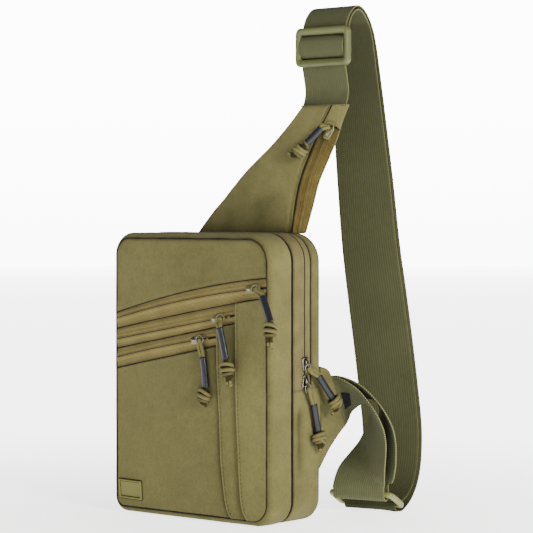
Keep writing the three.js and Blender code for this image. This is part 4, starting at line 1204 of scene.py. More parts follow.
def wing_left():
    rows, uv = [], []
    for z in span(246.8, 358.0, 90):
        x = curve(WL, z)
        f, b = lean_y(z) + 2.6, back_y(z) + 0.9
        row = []
        for v in [0, 0.03, 0.08] + span(0.14, 0.86, 12) + [0.92, 0.97, 1.0]:
            y = lerp(f, b, v)
            row.append(Vector((x - 0.7 * math.sin(math.pi * v) + 1.2 * (g(v, 0, 0.05) + g(v, 1, 0.05)) + 0.3 * ns((x, y, z), 20, 33), y, z)))
            uv.append((y, z))
        rows.append(row)
    return grid("wing_left_cloth", rows, CLOTH, uv=uv, solid=0.9, offset=-1.0, flip=True)


finish_piece(wing_left(), "bag", "cloth", "wing_left_gusset")


def wing_wall(u, z):
    """A point of the wing's right wall: u from 0 at the front panel to 1 at the back panel, with its outward normal."""
    a = Vector((curve(WR, z) - 0.5, lean_y(z) + 1.4, z))
    b = Vector((curve(WB, z) + 0.5, back_y(z) + 0.2, z))
    d = (b - a).normalized()
    n = Vector((d.y, -d.x, 0.0))
    return a.lerp(b, u), n, (b - a).length


def wing_zip():
    rows, uv = [], []
    us = [0.0, 0.03, 0.07, 0.11, 0.16, 0.22, 0.28, 0.33, 0.37, 0.40, 0.43, 0.455, 0.475, 0.49, 0.5, 0.51, 0.525, 0.545, 0.57, 0.60, 0.63, 0.67, 0.72, 0.78, 0.84, 0.89, 0.93, 0.97, 1.0]
    for z in span(246.6, 340.5, 110):
        row = []
        for u in us:
            p, n, w = wing_wall(u, z)
            h = 0.9 * g(u, 0.5, 0.17) - 0.35 * g(abs(u - 0.5), 0.23, 0.025) - 0.5 * g(u, 0.5, 0.018) - 1.1 * g(u, 0.0, 0.05) - 0.7 * g(u, 1.0, 0.04)
            row.append(p + n * h)
            uv.append((z, (u - 0.5) * w))
        rows.append(row)
    return grid("wing_zip_tape_cloth", rows, [WTAPE, COIL], uv=uv, solid=0.7, offset=-1.0, face_mat=lambda i, j: 1 if 11 <= j <= 16 else 0)


def wing_u(x, y, z):
    a = Vector((curve(WR, z) - 0.5, lean_y(z) + 1.4))
    b = Vector((curve(WB, z) + 0.5, back_y(z) + 0.2))
    return (Vector((x, y)) - a).dot(b - a) / (b - a).length_squared


finish_piece(shade(wing_zip(), lambda x, y, z: 0.8 * ex(wing_u(x, y, z), 0.07) + 0.45 * g(abs(wing_u(x, y, z) - 0.5), 0.11, 0.035) + 0.35 * g(abs(wing_u(x, y, z) - 0.5), 0.24, 0.03) + 0.5 * ex(340 - z, 7) + 0.35 * ex(z - 247, 4) + 0.25 * ns((x, y, z), 14, 75) + 0.15 * ns((x, y, z), 5, 76)), "bag", "zip_tape", "wing_zip_tape", "wing_zip_coil")


def wing_garage():
    """The folded flap over the zip's closed end, its free lower edge curved."""
    rows, uv = [], []
    us = [0.0, 0.03, 0.07] + span(0.12, 0.88, 26) + [0.93, 0.97, 1.0]
    for k in range(26):
        row = []
        for u in us:
            low = 339.6 - 3.6 * (2 * abs(u - 0.5)) ** 2.2
            f = k / 25
            z = lerp(low, 358.2, f ** 1.3)
            p, n, w = wing_wall(u, z)
            d = (z - low)
            h = 1.5 * math.sin(math.pi * u) ** 0.6 * (1 - 0.6 * f) + 0.9 - 1.4 * roll(d, 1.1, 1.0) + 0.15 * ns((p.x, p.y, z), 9, 40) - 0.6 * g(u, 0.02, 0.04)
            row.append(p + n * h)
            uv.append((z, (u - 0.5) * w))
        rows.append(row)
    return grid("wing_garage_cloth", rows, CLOTH, uv=uv, solid=0.9, offset=-1.0)


finish_piece(wing_garage(), "bag", "cloth", "wing_zip_garage")
# black tubes for painted shade in the slit between the front panel and the zip wall, and under the flap's free edge
pts = []
for z in span(248, 357.6, 90):
    p, n, w = wing_wall(0.035, z)
    pts.append(p + n * 0.35)
finish_piece(tube("wing_slit_shadow", pts, [0.75 + 0.25 * ns((0, 0, q.z), 11, 4) for q in pts], SHADE_AND_MELT_BLACK, sides=8), "bag", "cloth")
pts = []
for u in span(0.06, 0.97, 30):
    p, n, w = wing_wall(u, 339.1 - 3.6 * (2 * abs(u - 0.5)) ** 2.2)
    pts.append(p + n * (1.0 * math.sin(math.pi * u) + 0.25))
finish_piece(tube("wing_flap_shadow", pts, 0.5, SHADE_AND_MELT_BLACK, sides=8), "bag", "cloth")
rows = []
for x in span(50.5, 98.8, 40):
    f, b = lean_y(358) + 1.6, back_y(358) + 1.2
    rows.append([Vector((x, lerp(f, b, k / 6), 357.2 + 0.9 * math.sin(math.pi * k / 6))) for k in range(7)])
finish_piece(grid("wing_top_cloth", rows, CLOTH, solid=0.8), "bag", "cloth")
# seam allowance with stitching behind the wing's zip
pth, nor = [], []
for i in range(120):
    z = lerp(249, 356, i / 119)
    p, n, w = wing_wall(0.93, z)
    pth.append(p + n * 0.15)
    nor.append(n)
finish_piece(stitches("wing_zip_stitches", pth, nor, THREAD, 2.0, 1.1, 0.42, 0.05), "bag", "zip_tape")

# ------------------------------------------------------------------ the wing beside the body, at the lower right
def lower_wing():
    top = [(32.6, 133.0), (39.0, 130.0), (44.9, 122.6), (56.0, 101.5), (67.4, 79.6)]
    bot = [(32.6, 44.0), (42.0, 54.8), (48, 61.5), (67.4, 79.2)]
    rows, uv = [], []
    N = 44
    for side in (0, 1):
        for i in range(N + 1):
            y = lerp(32.6, 67.3, i / N)
            zt, zb = curve(top, y), curve(bot, y)
            row = []
            for j in range(41):
                v = j / 40
                z = lerp(zb, zt, v)
                e = math.sin(math.pi * v) ** 0.5 if 0 < v < 1 else 0
                t = 1.9 * e * (1 - 0.45 * i / N) + 0.15
                sy = 67.5 - (z - 79) * 0.516
                x = lerp(89.9, 90.7 + 0.078 * (z - 79), ease((y - 34.0) / max(3.0, sy - 34.0))) + (t if side == 0 else -t) + 0.3 * ns((y, 0, z), 18, 50)
                row.append(Vector((x, y, z)))
                uv.append((y, z))
            rows.append(row) if side == 0 else rows.append(row)
    front, back = rows[:N + 1], rows[N + 1:]
    o1 = grid("lower_wing_a", front, CLOTH, uv=uv[:(N + 1) * 41])
    o2 = grid("lower_wing_b", back, CLOTH, uv=uv[(N + 1) * 41:], flip=True)
    o = join("lower_wing_cloth", [o1, o2])
    bm = bmesh.new()
    bm.from_mesh(o.data)
    bmesh.ops.remove_doubles(bm, verts=bm.verts, dist=0.0004)
    bm.to_mesh(o.data)
    bm.free()
    return o


finish_piece(shade(lower_wing(), lambda x, y, z: 0.3 * ns((x, y, z), 20, 77) + 0.14 * ns((x, y, z), 8, 78) + 0.2 * ex(67 - y, 4) + 0.05), "bag", "cloth", "strap_wing_panel")
# bartack at the wing's upper corner
pth = [Vector((92.5, 24.2, 113.6)), Vector((92.5, 28.4, 113.6))]
for k in range(4):
    q = [p + Vector((0.0, 0.0, 0.45 * (k - 1.5))) for p in pth]
    finish_piece(stitches(f"bartack_{k}", [q[0].lerp(q[1], t / 6) for t in range(7)], [Vector((1, 0, 0))] * 7, THREAD_L, 3.6, 0.2, 0.42, 0.1), "bag", "cloth")

# ------------------------------------------------------------------ webbing
def ribbon(name, C, W, width, thick, mat, sheared=False, nv=26, cup=0.0, twist=None):
    """Webbing with rounded selvedges. C centre points, W width directions."""
    C, W = [Vector(c) for c in C], [Vector(w).normalized() for w in W]
    n = len(C)
    rows, uv, along = [], [], 0.0
    vs = [-1, -0.992, -0.975] + span(-0.95, 0.95, nv) + [0.975, 0.992, 1]
    for i in range(n):
        t = (C[min(i + 1, n - 1)] - C[max(i - 1, 0)]).normalized()
        w = W[i] if sheared else (W[i] - t * W[i].dot(t)).normalized()
        nn = t.cross(w).normalized()
        if i:
            along += (C[i] - C[i - 1]).length
        row, ur = [], []
        prof = []
        for side in (1, -1):
            seq = vs if side == 1 else list(reversed(vs))
            for v in seq:
                e = min(1.0, (1 - abs(v)) / 0.03)
                h = thick / 2 * math.sqrt(max(0.0, 1 - (1 - e) ** 2)) * side
                if abs(v) >= 1 and side == -1:
                    continue
                prof.append((v, h))
        for v, h in prof:
            p = C[i] + w * (v * width / 2) + nn * (h + cup * (1 - v * v))
            row.append(p)
            uv.append((along, v * width / 2))
        rows.append(row)
    m = len(rows[0])
    o = grid(name, rows, mat, close_cols=True, uv=uv)
    me = o.data
    bm = bmesh.new()
    bm.from_mesh(me)
    bm.verts.ensure_lookup_table()
    for k in (0, n - 1):
        try:
            bm.faces.new([bm.verts[k * m + j] for j in (range(m) if k else reversed(range(m)))])
        except ValueError:
            pass
    bmesh.ops.recalc_face_normals(bm, faces=bm.faces)
    bm.to_mesh(me)
    bm.free()
    return o


RG = dict(x=84.6, y=106.5, z=10.9, turn=12.0, tilt=-26.0, hx=31.5, hy=15.3, bar=4.8, rail=4.2, thick=4.4)
RING_ROT = Matrix.Rotation(math.radians(RG["turn"]), 3, "Z") @ Matrix.Rotation(math.radians(RG["tilt"]), 3, "X")
RING_C = Vector((RG["x"], RG["y"], RG["z"]))
RX = RING_ROT @ Vector((1, 0, 0))


def bar_at(side):
    return RING_ROT @ Vector((0, side * (RG["hy"] - RG["bar"] / 2), 0)) + RING_C


def dir_w(deg):
    return Vector((math.cos(math.radians(deg)), math.sin(math.radians(deg)), 0))


LONG = [
    [75, 58.6, 358.6, -2.5], [75, 60.6, 364, -2.5], [75, 61.6, 371, -2.5], [75, 59.6, 382, -2.5], [75, 57.4, 392, -2.5], [75, 57, 405, -2.5], [75, 57.3, 418, -2.5], [75, 59, 428, -2.5],
    [75, 63.5, 436.5, -2.5], [75, 69.5, 442, -2.5], [75, 76, 444, -2.5], [75, 83, 441.5, -2.5], [75, 90, 434.5, -1.8], [75, 96.4, 423, -1], [75.3, 100.3, 408, 0],
    [75.6, 103.6, 390, 1], [76, 107, 368, 3], [76.2, 111, 335, 10], [77, 117.5, 286, 18], [78, 124, 235, 24], [79.5, 131.5, 190, 31], [81, 139, 145, 36], [82, 145.5, 105, 37],
    [82.8, 149.8, 72, 37], [83, 149.5, 48, 36.5], [83.3, 146, 32, 35], [83.2, 140.2, 18.5, 27], [82.6, 133.6, 8.5, 18], [82.3, 127.4, 2.5, 13], [82.2, 121.8, 0.72, 12], [82.2, 117.8, 0.66, 12],
]
_R, _H = bar_at(1), Vector((0, 0, 1)).cross(RX).normalized()
turn_rows = []
for h, z in [(-3.2, -3.9), (-4.9, -1.2), (-4.7, 2.2), (-2.6, 4.9), (1.2, 7.0)]:
    c = _R + _H * h + Vector((0, 0, z))
    turn_rows.append([c.x, c.y, c.z, RG["turn"]])
inner = []
for i in range(27, 4, -1):
    r = LONG[i]
    t = (Vector(LONG[i + 1][:3]) - Vector(LONG[i - 1][:3])).normalized()
    w = dir_w(r[3])
    n = t.cross(w).normalized()
    upper = i < 12
    gap = table([(5, 4.4), (8, 3.2), (12, 3.0)], i) if upper else table([(8, 8.8), (18, 6.6), (32, 5.2), (48, 4.6), (105, 4.2), (235, 3.4), (335, 2.8), (390, 2.7), (435, 3.0)], r[2])
    off = 0 if upper else table([(8, 0.4), (18, 2.4), (32, 3.4), (105, 3.4), (390, 1.5), (430, 0)], r[2])
    c = Vector(r[:3]) + n * gap - w * off
    inner.append([c.x, c.y, c.z, r[3]])
S = smooth([[75, 58.2, 357.0, -2.5]] + LONG + turn_rows + inner, 626)
long_web = ribbon("webbing_long_woven", [r[:3] for r in S], [dir_w(r[3]) for r in S], 50, 1.3, WEB)
# painted shade on the strap's far run, where it goes into the wing's top, and where it lies on the floor
shade(long_web, lambda x, y, z: (0.32 + 0.1 * ns((x, y, z), 40, 80) if y > 88 else 0.02 + 0.3 * ex(abs(z - 358), 3)) + (0.25 if z < 6 else 0.0))
finish_piece(long_web, "bag", "webbing", "webbing_long")

SHORT = [
    [92.4, 56.2, 101.2, 0.06, -0.46, 0.88], [94.6, 60.2, 103.6, 0.22, -0.60, 0.76], [98.6, 63.2, 104.6, 0.42, -0.68, 0.60], [104.5, 66.4, 103.8, 0.56, -0.72, 0.40],
    [109.8, 69.4, 101.2, 0.64, -0.74, 0.18], [115.2, 74.0, 94.7, 0.70, -0.71, -0.06], [117.2, 78.6, 84.8, 0.74, -0.63, -0.22], [115.4, 81.8, 75.6, 0.76, -0.53, -0.37],
    [111.7, 84.6, 66.5, 0.77, -0.46, -0.45], [107.4, 87.4, 57.3, 0.76, -0.38, -0.50], [102.6, 89.8, 48.8, 0.79, -0.29, -0.50], [96.8, 90.8, 40.5, 0.85, -0.13, -0.42],
    [90.8, 91.0, 32.7, 0.93, 0.08, -0.24],
]
_B = bar_at(-1)
_bk = Vector((-0.15, 0.93, 0.33))
_bk = (_bk - RX * _bk.dot(RX)).normalized()
_dn = _bk.cross(RX).normalized()
if _dn.z > 0:
    _dn = -_dn
SC, SW = [Vector(r[:3]) for r in SHORT], [Vector(r[3:]).normalized() for r in SHORT]
wrap = [_B - _bk * (5.0 * math.cos(math.pi * k / 6)) + _dn * (5.0 * math.sin(math.pi * k / 6)) for k in range(7)]
rear = []
for i, c in enumerate(SC):
    t = ((SC[i + 1] if i + 1 < len(SC) else wrap[0]) - SC[max(i - 1, 0)]).normalized()
    rear.append(c + SW[i].cross(t).normalized() * table([(0, 2.2), (2, 3.6), (6, 8), (9, 10.3), (12, 10.3)], i))
_rise = Vector((0, -0.03, 1))
srows = SC + [wrap[0] + _rise * 9, wrap[0] + _rise * 4.5] + wrap + [wrap[6] + _rise * 4, wrap[6] + _rise * 8] + rear[::-1]
sww = SW + [RX, RX] + [RX] * 7 + [RX, RX] + SW[::-1]
S2 = smooth([[*c, *w] for c, w in zip(srows, sww)], 336)
short_web = ribbon("webbing_loop_woven", [r[:3] for r in S2], [r[3:] for r in S2], 50, 1.3, WEB, sheared=True)
# painted light over the lower loop, giving way to a little painted shade at its upper end by the body
shade(short_web, lambda x, y, z: -0.5 + 0.6 * ex(abs(z - 101) + abs(y - 56), 14))
finish_piece(short_web, "bag", "webbing", "webbing_lower_loop")

# blank black label
q = smooth(SHORT, 192)[12:36]
LC, LW = [Vector(r[:3]) for r in q], [Vector(r[3:]).normalized() for r in q]
LL = []
for i, c in enumerate(LC):
    t = (LC[min(i + 1, len(LC) - 1)] - LC[max(i - 1, 0)]).normalized()
    LL.append(c + LW[i].cross(t).normalized() * -1.35 - LW[i] * 2.0)
lab = ribbon("strap_label_woven", LL, LW, 19, 0.5, LABEL, sheared=True)
finish_piece(lab, "bag", "label", "strap_label")

# ------------------------------------------------------------------ strap hardware
GL = Matrix.Translation(Vector((75, 0, 408.5))) @ Matrix.Rotation(math.radians(-2.5), 4, "Z")


def glide_local(p):
    return (GL @ Vector(p).to_4d()).to_3d()


def rounded_rect(hx, hz, r, seg=8):
    out = []
    for cx, cz, a0 in ((hx - r, hz - r, 0), (-hx + r, hz - r, 90), (-hx + r, -hz + r, 180), (hx - r, -hz + r, 270)):
        for k in range(seg + 1):
            a = math.radians(a0 + 90 * k / seg)
            out.append((cx + r * math.cos(a), cz + r * math.sin(a)))
    return out


def frame_loft(name, place, outer, inner_, y0, y1, lip, mat):
    """A moulded frame: outer and inner loops joined by rounded edges; y0 is the front face."""
    n = len(outer)
    prof = []
    e = 1.1
    for f, y in ((0.0, y1), (0.0, y0 + e), (0.12, y0 + e * 0.4), (0.3, y0), (0.62, y0 + lip * 0.25), (0.8, y0 + lip), (1.0, y0 + lip * 1.6), (1.0, y1 - 0.6), (0.85, y1)):
        prof.append([place((lerp(o[0], i[0], f), y, lerp(o[1], i[1], f))) for o, i in zip(outer, inner_)])
    return grid(name, prof, mat, close_rows=True, close_cols=True, flip=True)


fr = frame_loft("tri_glide_frame", glide_local, rounded_rect(30, 17, 5.5), rounded_rect(25.4, 10.8, 2.2), 49.9, 55.6, 0.9, PLASTIC)
bar_rows = []
for x in span(-26.3, 26.3, 30):
    bar_rows.append([glide_local((x, 53.75 + 1.3 * math.sin(2 * math.pi * k / 20) * (1.0 if math.sin(2 * math.pi * k / 20) < 0 else 0.9), 3.3 * math.cos(2 * math.pi * k / 20))) for k in range(20)])
br = grid("tri_glide_bar", bar_rows, PLASTIC, close_cols=True)
glide = join("tri_glide_moulded", [fr, br])
finish_piece(glide, "adjuster", "plastic", "tri_glide")
P = [(-9.2, -0.55), (-8.6, -1.8), (-7.2, -3.4), (-5, -4.75), (-2, -5.3), (2, -5.3), (5, -4.75), (7.2, -3.4), (8.6, -1.8), (9.2, -0.55)]
TC = smooth([[*glide_local((0, 56 + y, z))] for z, y in P], 60)
tw = ribbon("webbing_turn_woven", TC, [dir_w(-2.5)] * len(TC), 50, 1.3, WEB)
finish_piece(tw, "adjuster", "webbing", "webbing_adjuster_turn")


def ring_local(p):
    return RING_ROT @ Vector((p[0], p[2], p[1])) + RING_C


ro = rounded_rect(RG["hx"], RG["hy"], 5.0)
ri = rounded_rect(RG["hx"] - RG["rail"], RG["hy"] - RG["bar"], 1.2)
prof = []
T = RG["thick"] / 2
for f, y in ((0.02, -T + 0.7), (0.0, 0.0), (0.02, T - 0.7), (0.14, T - 0.1), (0.3, T), (0.7, T), (0.88, T - 0.1), (0.99, T - 0.8), (1.0, 0.0), (0.99, -T + 0.8), (0.88, -T + 0.1), (0.7, -T), (0.3, -T), (0.14, -T + 0.1)):
    prof.append([ring_local((lerp(o[0], i[0], f), y, lerp(o[1], i[1], f))) for o, i in zip(ro, ri)])
rg = grid("rect_ring_moulded", prof, RINGPL, close_rows=True, close_cols=True)
finish_piece(rg, "ring", "plastic", "rect_ring")

# ------------------------------------------------------------------ sliders and pulls
def place(at, s, q, o, a, b, h):
    return at + s * a + q * b + o * h


def slider_piece(name, at, u, n, mat, dot):
    s, o = u.normalized(), n.normalized()
    q = o.cross(s).normalized()
    half = [(-7.2, 0.0), (-7.1, 1.9), (-6.3, 2.6), (-4.0, 2.9), (-1.0, 3.3), (1.5, 3.95), (3.6, 3.9), (4.8, 2.9), (5.2, 1.4), (4.6, 0.5), (4.3, 0.0)]
    loop = half + [(a, -b) for a, b in half[-2:0:-1]]
    loop = [tuple(v) for v in smooth([list(p) for p in loop + loop[:1]], 48)[:-1]]
    rows = []
    for h, k in ((0.2, 0.96), (0.4, 1.0), (1.2, 1.0), (1.55, 0.95), (1.65, 0.86), (1.65, 0.5), (1.65, 0.02)):
        rows.append([place(at, s, q, o, a * k - 0.9 * (1 - k), b * k, h) for a, b in loop])
    base = grid(name + "_b", rows, mat, close_cols=True)
    # the crown: an arched strap over the slider that holds the bail
    path, wid, fl = [], [], []
    for k in range(25):
        t = k / 24
        a = lerp(-5.2, 3.4, t)
        h = 1.3 + 2.1 * math.sin(math.pi * t) ** 0.55
        path.append(place(at, s, q, o, a, 0, h))
        wid.append(lerp(1.9, 1.25, abs(2 * t - 1) ** 0.8 * 0.4 + 0.0))
        fl.append(0.55)
    crown = tube(name + "_c", path, wid, mat, sides=12, flat=fl, ref=o)
    # side flanges
    parts = [base, crown]
    for sg in (1, -1):
        pth2 = [place(at, s, q, o, a, sg * b, 0.75) for a, b in ((-6.6, 2.2), (-3.5, 2.75), (0, 3.4), (2.2, 3.85), (3.9, 3.4))]
        parts.append(tube(name + f"_f{sg}", smooth([list(p) for p in pth2], 16), 0.55, mat, sides=8))
    rows = []
    for h, r in ((3.2, 1.5), (3.55, 1.5), (3.8, 1.2), (3.85, 0.7), (3.85, 0.05)):
        rows.append([place(at, s, q, o, -1.3 + r * math.cos(2 * math.pi * k / 16), r * math.sin(2 * math.pi * k / 16), h) for k in range(16)])
    parts.append(grid(name + "_d", rows, dot, close_cols=True))
    return join(name, parts)


def bezier(a, b, c, d, n):
    return [a * (1 - t) ** 3 + b * 3 * t * (1 - t) ** 2 + c * 3 * t * t * (1 - t) + d * t ** 3 for t in (i / n for i in range(n + 1))]


def pull_pieces(name, bail, n, u, path, knot, dims, tails, ref, metal, seed):
    """Bail wire, doubled cord, oval sleeve, overhand knot with its wraps, and two cut tails."""
    o, s = n.normalized(), u.normalized()
    q = o.cross(s).normalized()
    rr = 3.5
    ringp = [bail + s * (rr * 1.15 * math.cos(2 * math.pi * k / 40)) + q * (rr * math.sin(2 * math.pi * k / 40)) for k in range(40)]
    bl = tube("bail_" + name, ringp, 0.62, metal, sides=10, closed=True, cap=False)
    finish_piece(bl, "pull_" + name, "metal", "pull_bail_" + name)
    a, b, c = [Vector(p) for p in path]
    k0, tl = Vector(knot), Vector(tails)
    ref = Vector(ref).normalized()
    w, d, l = (q * 1.2 for q in dims)
    axis = (c - b).normalized()
    across = axis.cross(ref).normalized()
    parts = []
    # two strands from the bail into the sleeve
    for sg in (1, -1):
        st = a + across * (1.15 * sg)
        loop_in = bail + (a - bail).normalized() * 2.2
        pts = bezier(loop_in + across * (0.6 * sg) + ref * 0.3 * sg, st + across * 1.3 * sg, b - axis * 4 + across * (1.9 * sg), b + axis * 2.0 + across * (1.0 * sg), 26)
        parts.append(tube("x", pts, [1.6 - 0.3 * max(0, k - 20) / 6 for k in range(27)], CORD, sides=12))
    # the cord's turn round the bail
    turn_pts = []
    for k in range(17):
        t = math.pi * k / 16
        turn_pts.append(bail + (a - bail).normalized() * (2.2 - 1.6 * math.sin(t)) + across * (1.1 * math.cos(t)) + o * (0.5 * math.sin(t)))
    parts.append(tube("x", turn_pts, 1.4, CORD, sides=12))
    # into the knot
    kd = (k0 - c).normalized()
    kw = kd.cross(ref).normalized()
    kn = kw.cross(kd).normalized()
    for sg in (1, -1):
        parts.append(tube("x", bezier(c - axis * 2 + across * (0.8 * sg), c + axis * 1.5 + across * (0.9 * sg), k0 - kd * l * 0.9 + kw * (1.2 * sg), k0 - kd * l * 0.2 + kw * (0.9 * sg), 16), 1.4, CORD, sides=12))
    # two turns wound round, and one crossing over the front
    R = 1.75
    for j, (h, tilt, fw, fd) in enumerate(((-0.52, 0.22, 1.0, 1.0), (0.02, 0.12, 1.05, 1.05))):
        pts = []
        for k in range(44):
            t = 2 * math.pi * k / 44
            pts.append(k0 + kd * (l * h + l * tilt * math.sin(t + 0.7 * j + seed)) + kw * ((w - R) * fw * math.cos(t)) + kn * ((d - R * 0.75) * fd * math.sin(t)))
        parts.append(tube("x", pts, [R] * 44, CORD, sides=12, closed=True, cap=False))
    sgn = 1 if (seed * 10) % 2 < 1 else -1
    cross = bezier(k0 - kd * l * 0.1 - kw * (w * 0.62 * sgn) + kn * (d - 1.6), k0 + kd * l * 0.15 - kw * (w * 0.3 * sgn) + kn * (d + 0.5), k0 + kd * l * 0.5 + kw * (w * 0.25 * sgn) + kn * (d + 0.4), k0 + kd * l * 0.9 + kw * (w * 0.45 * sgn) + kn * (d * 0.15), 20)
    parts.append(tube("x", [p - kn * 0.9 for p in cross], 1.6, CORD, sides=12))
    cross2 = [k0 + kd * (l * 0.42) + kw * ((w - R) * 0.85 * math.cos(t)) + kn * ((d - R) * 0.9 * math.sin(t)) + kd * (0.7 * math.cos(t + 1)) for t in (2 * math.pi * k / 36 for k in range(36))]
    parts.append(tube("x", cross2, 1.6, CORD, sides=12, closed=True, cap=False))
    core = [k0 - kd * l * 0.7, k0 - kd * l * 0.3, k0, k0 + kd * l * 0.4, k0 + kd * l * 0.75]
    parts.append(tube("x", smooth([list(p) for p in core], 12), 2.7, CORD, sides=12))
    # tails
    for sg, ln in ((1, 1.0), (-1, 0.86)):
        e = k0.lerp(tl, ln) + kw * (1.7 * sg) + kn * (0.3 * sg)
        pts = bezier(k0 + kd * l * 0.4 + kw * (1.0 * sg), k0 + kd * l * 1.0 + kw * (1.9 * sg), k0.lerp(tl, 0.7) + kw * (1.3 * sg), e, 16)
        rad = [1.4] * 13 + [1.45, 1.5, 1.55, 1.45]
        parts.append(tube("x", pts, rad, CORD, sides=12))
        # frayed, melted end
        td = (pts[-1] - pts[-2]).normalized()
        parts.append(tube("x", [pts[-1] - td * 0.2, pts[-1] + td * 0.35, pts[-1] + td * 0.6], [1.4, 1.15, 0.5], SHADE_AND_MELT_BLACK, sides=10))
    cd = join("cord_" + name, parts)

    # painted shade: a little over all the cord, deep in the gaps inside the knot
    def knot_gap_shade(x, y, z):
        p = Vector((x, y, z)) - k0
        h = p.dot(kd) / l
        r = math.hypot(p.dot(kw) / w, p.dot(kn) / d)
        if abs(h) > 1.25:
            return 0.1
        return 0.1 + 0.9 * min(1.0, max(0.0, (1.0 - r) / 0.3))

    shade(cd, knot_gap_shade)
    finish_piece(cd, "pull_" + name, "cord", "pull_cord_" + name)
    # sleeve
    bend = (k0 - c).normalized()
    mid = (b + c) / 2 + ref * 0.0
    pts = bezier(b, b.lerp(c, 0.35) + across * 0.35, b.lerp(c, 0.7) + across * 0.35, c, 22)
    rad = [3.2 + 0.14 * math.sin(i * 0.9 + seed * 3) * 0.5 + (0.25 if i in (0, 22) else 0.0) for i in range(23)]
    flat = [2.45 + (0.2 if i in (0, 22) else 0.0) for i in range(23)]
    sl = tube("sleeve_" + name, pts, rad, SLEEVE, sides=24, flat=flat, ref=ref)
    finish_piece(sl, "pull_" + name, "sleeve", "pull_sleeve_" + name)


OUTV = Vector((0, -1, 0))


def tangent(k, x):
    return Vector((1, 0, 0.1805 if k == 1 else -(x - ARCS[k][0]) / (arc_z(k, x) - ARCS[k][1])))


FRONT = [
    ("front_1", 0, 72.0, [(80.5, -40.2, 196.9), (88.6, -41.6, 194.2), (103.2, -48.6, 173.5)], (103.9, -50.2, 166.6), (6.0, 3.7, 6.2), (103.6, -49.6, 152.5), BRASS, BRIGHT),
    ("front_2", 1, 33.0, [(37.2, -40.2, 170.0), (42.3, -42.9, 167.0), (49.7, -43.8, 140.8)], (52.4, -45.0, 131.8), (6.2, 3.6, 6.4), (54.6, -44.4, 117.5), BRASS, BRIGHT),
    ("front_3", 2, 9.5, [(14.8, -38.6, 151.6), (19.0, -38.5, 141.0), (22.4, -38.5, 115.2)], (20.9, -39.6, 107.8), (5.6, 3.6, 5.8), (21.5, -38.6, 99.5), NICKEL, NICKEL),
]
for i, (nm, k, x, path, kc, dims, tl, met, dot) in enumerate(FRONT):
    at = Vector((x, -34.4, arc_z(k, x)))
    t = tangent(k, x).normalized()
    finish_piece(slider_piece("slider_" + nm + "_cast", at, t, OUTV, met, dot), "slider_" + nm, "metal", "slider_body_" + nm)
    pull_pieces(nm, at + t * 6.3 + Vector((0, -3.95, 0)), OUTV, t, path, kc, dims, tl, (0, 1, 0), met, 0.3 + 0.37 * i)
SIDE, UPV = Vector((1, 0, 0)), Vector((0, 0, 1))
for i, (nm, z, u, bz, path, kc, dims, tl) in enumerate((
        ("main_upper", 137, UPV, 132.6, [(97.2, 13.2, 129.6), (98.4, 21.2, 125.4), (103.4, 33.4, 106.6)], (105.6, 35.0, 101.4), (5.6, 4.6, 5.2), (104.2, 33.0, 92.6)),
        ("main_lower", 119.6, -UPV, 115.4, [(97.2, 11.6, 112.2), (96.4, 17.0, 101.2), (96.9, 22.4, 78.2)], (98.0, 22.2, 71.6), (6.4, 4.4, 5.8), (97.4, 25.6, 60.6)))):
    finish_piece(slider_piece("slider_" + nm + "_cast", Vector((91.6, 10, z)), u, SIDE, NICKEL, NICKEL), "slider_" + nm, "metal", "slider_body_" + nm)
    pull_pieces(nm, Vector((95.55, 10, bz)), SIDE, -UPV, path, kc, dims, tl, (1, 0, 0), NICKEL, 1.4 + 0.5 * i)
_F, _Bk = Vector((78.3, 46.5, 336)), Vector((93.7, 55.0, 336))
_d = (_Bk - _F).normalized()
_n = Vector((_d.y, -_d.x, 0.12)).normalized()
_down = Vector((-12, -14.7, -51)).normalized()
_at = Vector((86, 50.7, 334.5)) + _n * 2.2
_s = (_down - _n * _down.dot(_n)).normalized()
finish_piece(slider_piece("slider_wing_cast", _at, -_s, _n, BRASS, BRASS), "slider_wing", "metal", "slider_body_wing")
pull_pieces("wing", _at + _n * 4.05 - _s * 3.6, _n, _s, [(86.2, 43.2, 338.2), (84.4, 41.6, 337.4), (73.4, 35.8, 325.0)], (68.6, 31.4, 317.4), (5.6, 4.2, 5.4), (56.6, 30.6, 314.6), (0, 1, 0), BRASS, 2.9)

# ------------------------------------------------------------------ the CAD nodes that still show take cloth finishes
for node, m in (("compartment_divider", LINING), ("pocket_lining", LINING), ("main_zip_coil", COIL)):
    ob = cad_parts[node]
    ob.data.materials.clear()
    ob.data.materials.append(m)

# ------------------------------------------------------------------ floor, light and camera
def area(name, loc, target, size, power, colour=(1, 1, 1), size_y=None):
    d = bpy.data.lights.new(name, "AREA")
    d.energy, d.color = power, colour
    d.shape = "RECTANGLE"
    d.size, d.size_y = size, size_y or size
    o = bpy.data.objects.new(name, d)
    bpy.context.scene.collection.objects.link(o)
    o.location = loc
    o.rotation_euler = (Vector(target) - Vector(loc)).to_track_quat("-Z", "Y").to_euler()
    return o


fm = Mat("pale_floor", 0.9)
_fl = fm.n("VectorMath", operation="LENGTH")
fm.t.links.new(fm.obj(), _fl.inputs[0])
fm.b.inputs["Emission Color"].default_value = (1, 1, 1, 1)
fm.t.links.new(fm.remap(_fl.outputs["Value"], 0.12, 0.75, 2.4, 4.6), fm.b.inputs["Emission Strength"])
fm.colour(fm.mix(fm.noise(2.0, 2), (0.86, 0.86, 0.86, 1), (0.9, 0.9, 0.9, 1)))
me = bpy.data.meshes.new("floor")
F = 12.0
z0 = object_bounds()[0][2] - 0.0005
me.from_pydata([(-F, -F, z0), (F, -F, z0), (F, F, z0), (-F, F, z0)], [], [(0, 1, 2, 3)])
me.materials.append(fm.m)
floor = bpy.data.objects.new("floor", me)
bpy.context.scene.collection.objects.link(floor)

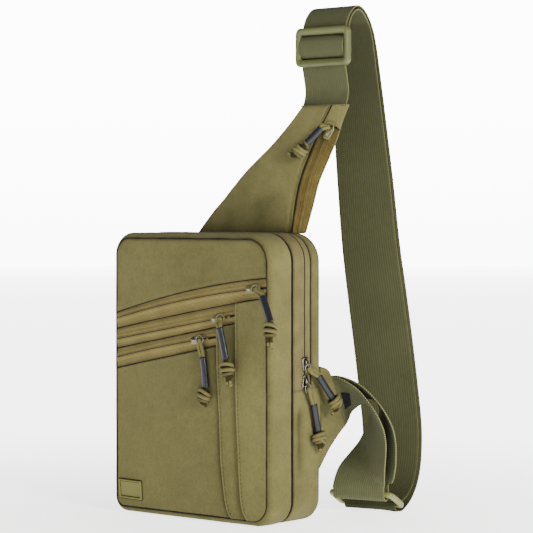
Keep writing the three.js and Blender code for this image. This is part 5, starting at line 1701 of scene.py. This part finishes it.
world = bpy.data.worlds.new("studio")
world.use_nodes = True
world.node_tree.nodes["Background"].inputs[0].default_value = (1.0, 1.0, 1.0, 1.0)
world.node_tree.nodes["Background"].inputs[1].default_value = 0.2
bpy.context.scene.world = world
area("key", (2.3, -0.7, 0.85), (0.05, 0, 0.12), 0.6, 94, (1.0, 0.965, 0.89))
area("fill", (-0.6, -2.0, 1.1), (0, 0, 0.15), 1.4, 3, (0.97, 0.98, 1.0))
area("top", (0.2, 0.3, 1.9), (0.02, 0, 0.2), 1.0, 3)
bm_ = Mat("backdrop_glow", 1.0)
_em = bm_.t.nodes.new("ShaderNodeEmission")
_sep = bm_.t.nodes.new("ShaderNodeSeparateXYZ")
bm_.t.links.new(bm_.obj(), _sep.inputs[0])
bm_.t.links.new(bm_.remap(_sep.outputs[2], 0.0, 0.9, 10.0, 13.0), _em.inputs["Strength"])
bm_.t.links.new(_em.outputs[0], bm_.out.inputs[0])
me = bpy.data.meshes.new("backdrop")
_c, _r = Vector((-math.sin(math.radians(40)), math.cos(math.radians(40)), 0)), Vector((math.cos(math.radians(40)), math.sin(math.radians(40)), 0))
_q = [_c * 9 - _r * 3.2, _c * 9 + _r * 3.2]
me.from_pydata([tuple(_q[0] + Vector((0, 0, z0))), tuple(_q[1] + Vector((0, 0, z0))), tuple(_q[1] + Vector((0, 0, 3.6))), tuple(_q[0] + Vector((0, 0, 3.6)))], [], [(0, 1, 2, 3)])
me.materials.append(bm_.m)
backdrop = bpy.data.objects.new("backdrop", me)
bpy.context.scene.collection.objects.link(backdrop)

cam_d = bpy.data.cameras.new("camera")
cam = bpy.data.objects.new("camera", cam_d)
bpy.context.scene.collection.objects.link(cam)
_a, _e = math.radians(40), math.radians(1.41)
_back = Vector((math.sin(_a) * math.cos(_e), -math.cos(_a) * math.cos(_e), math.sin(_e)))
cam.location = (1.23606, -1.404, 0.263628)
cam.rotation_euler = (-_back).to_track_quat("-Z", "Y").to_euler()
cam_d.sensor_width = 36
cam_d.lens = 2142 / 533 * 36
cam_d.clip_end = 100
bpy.context.scene.camera = cam
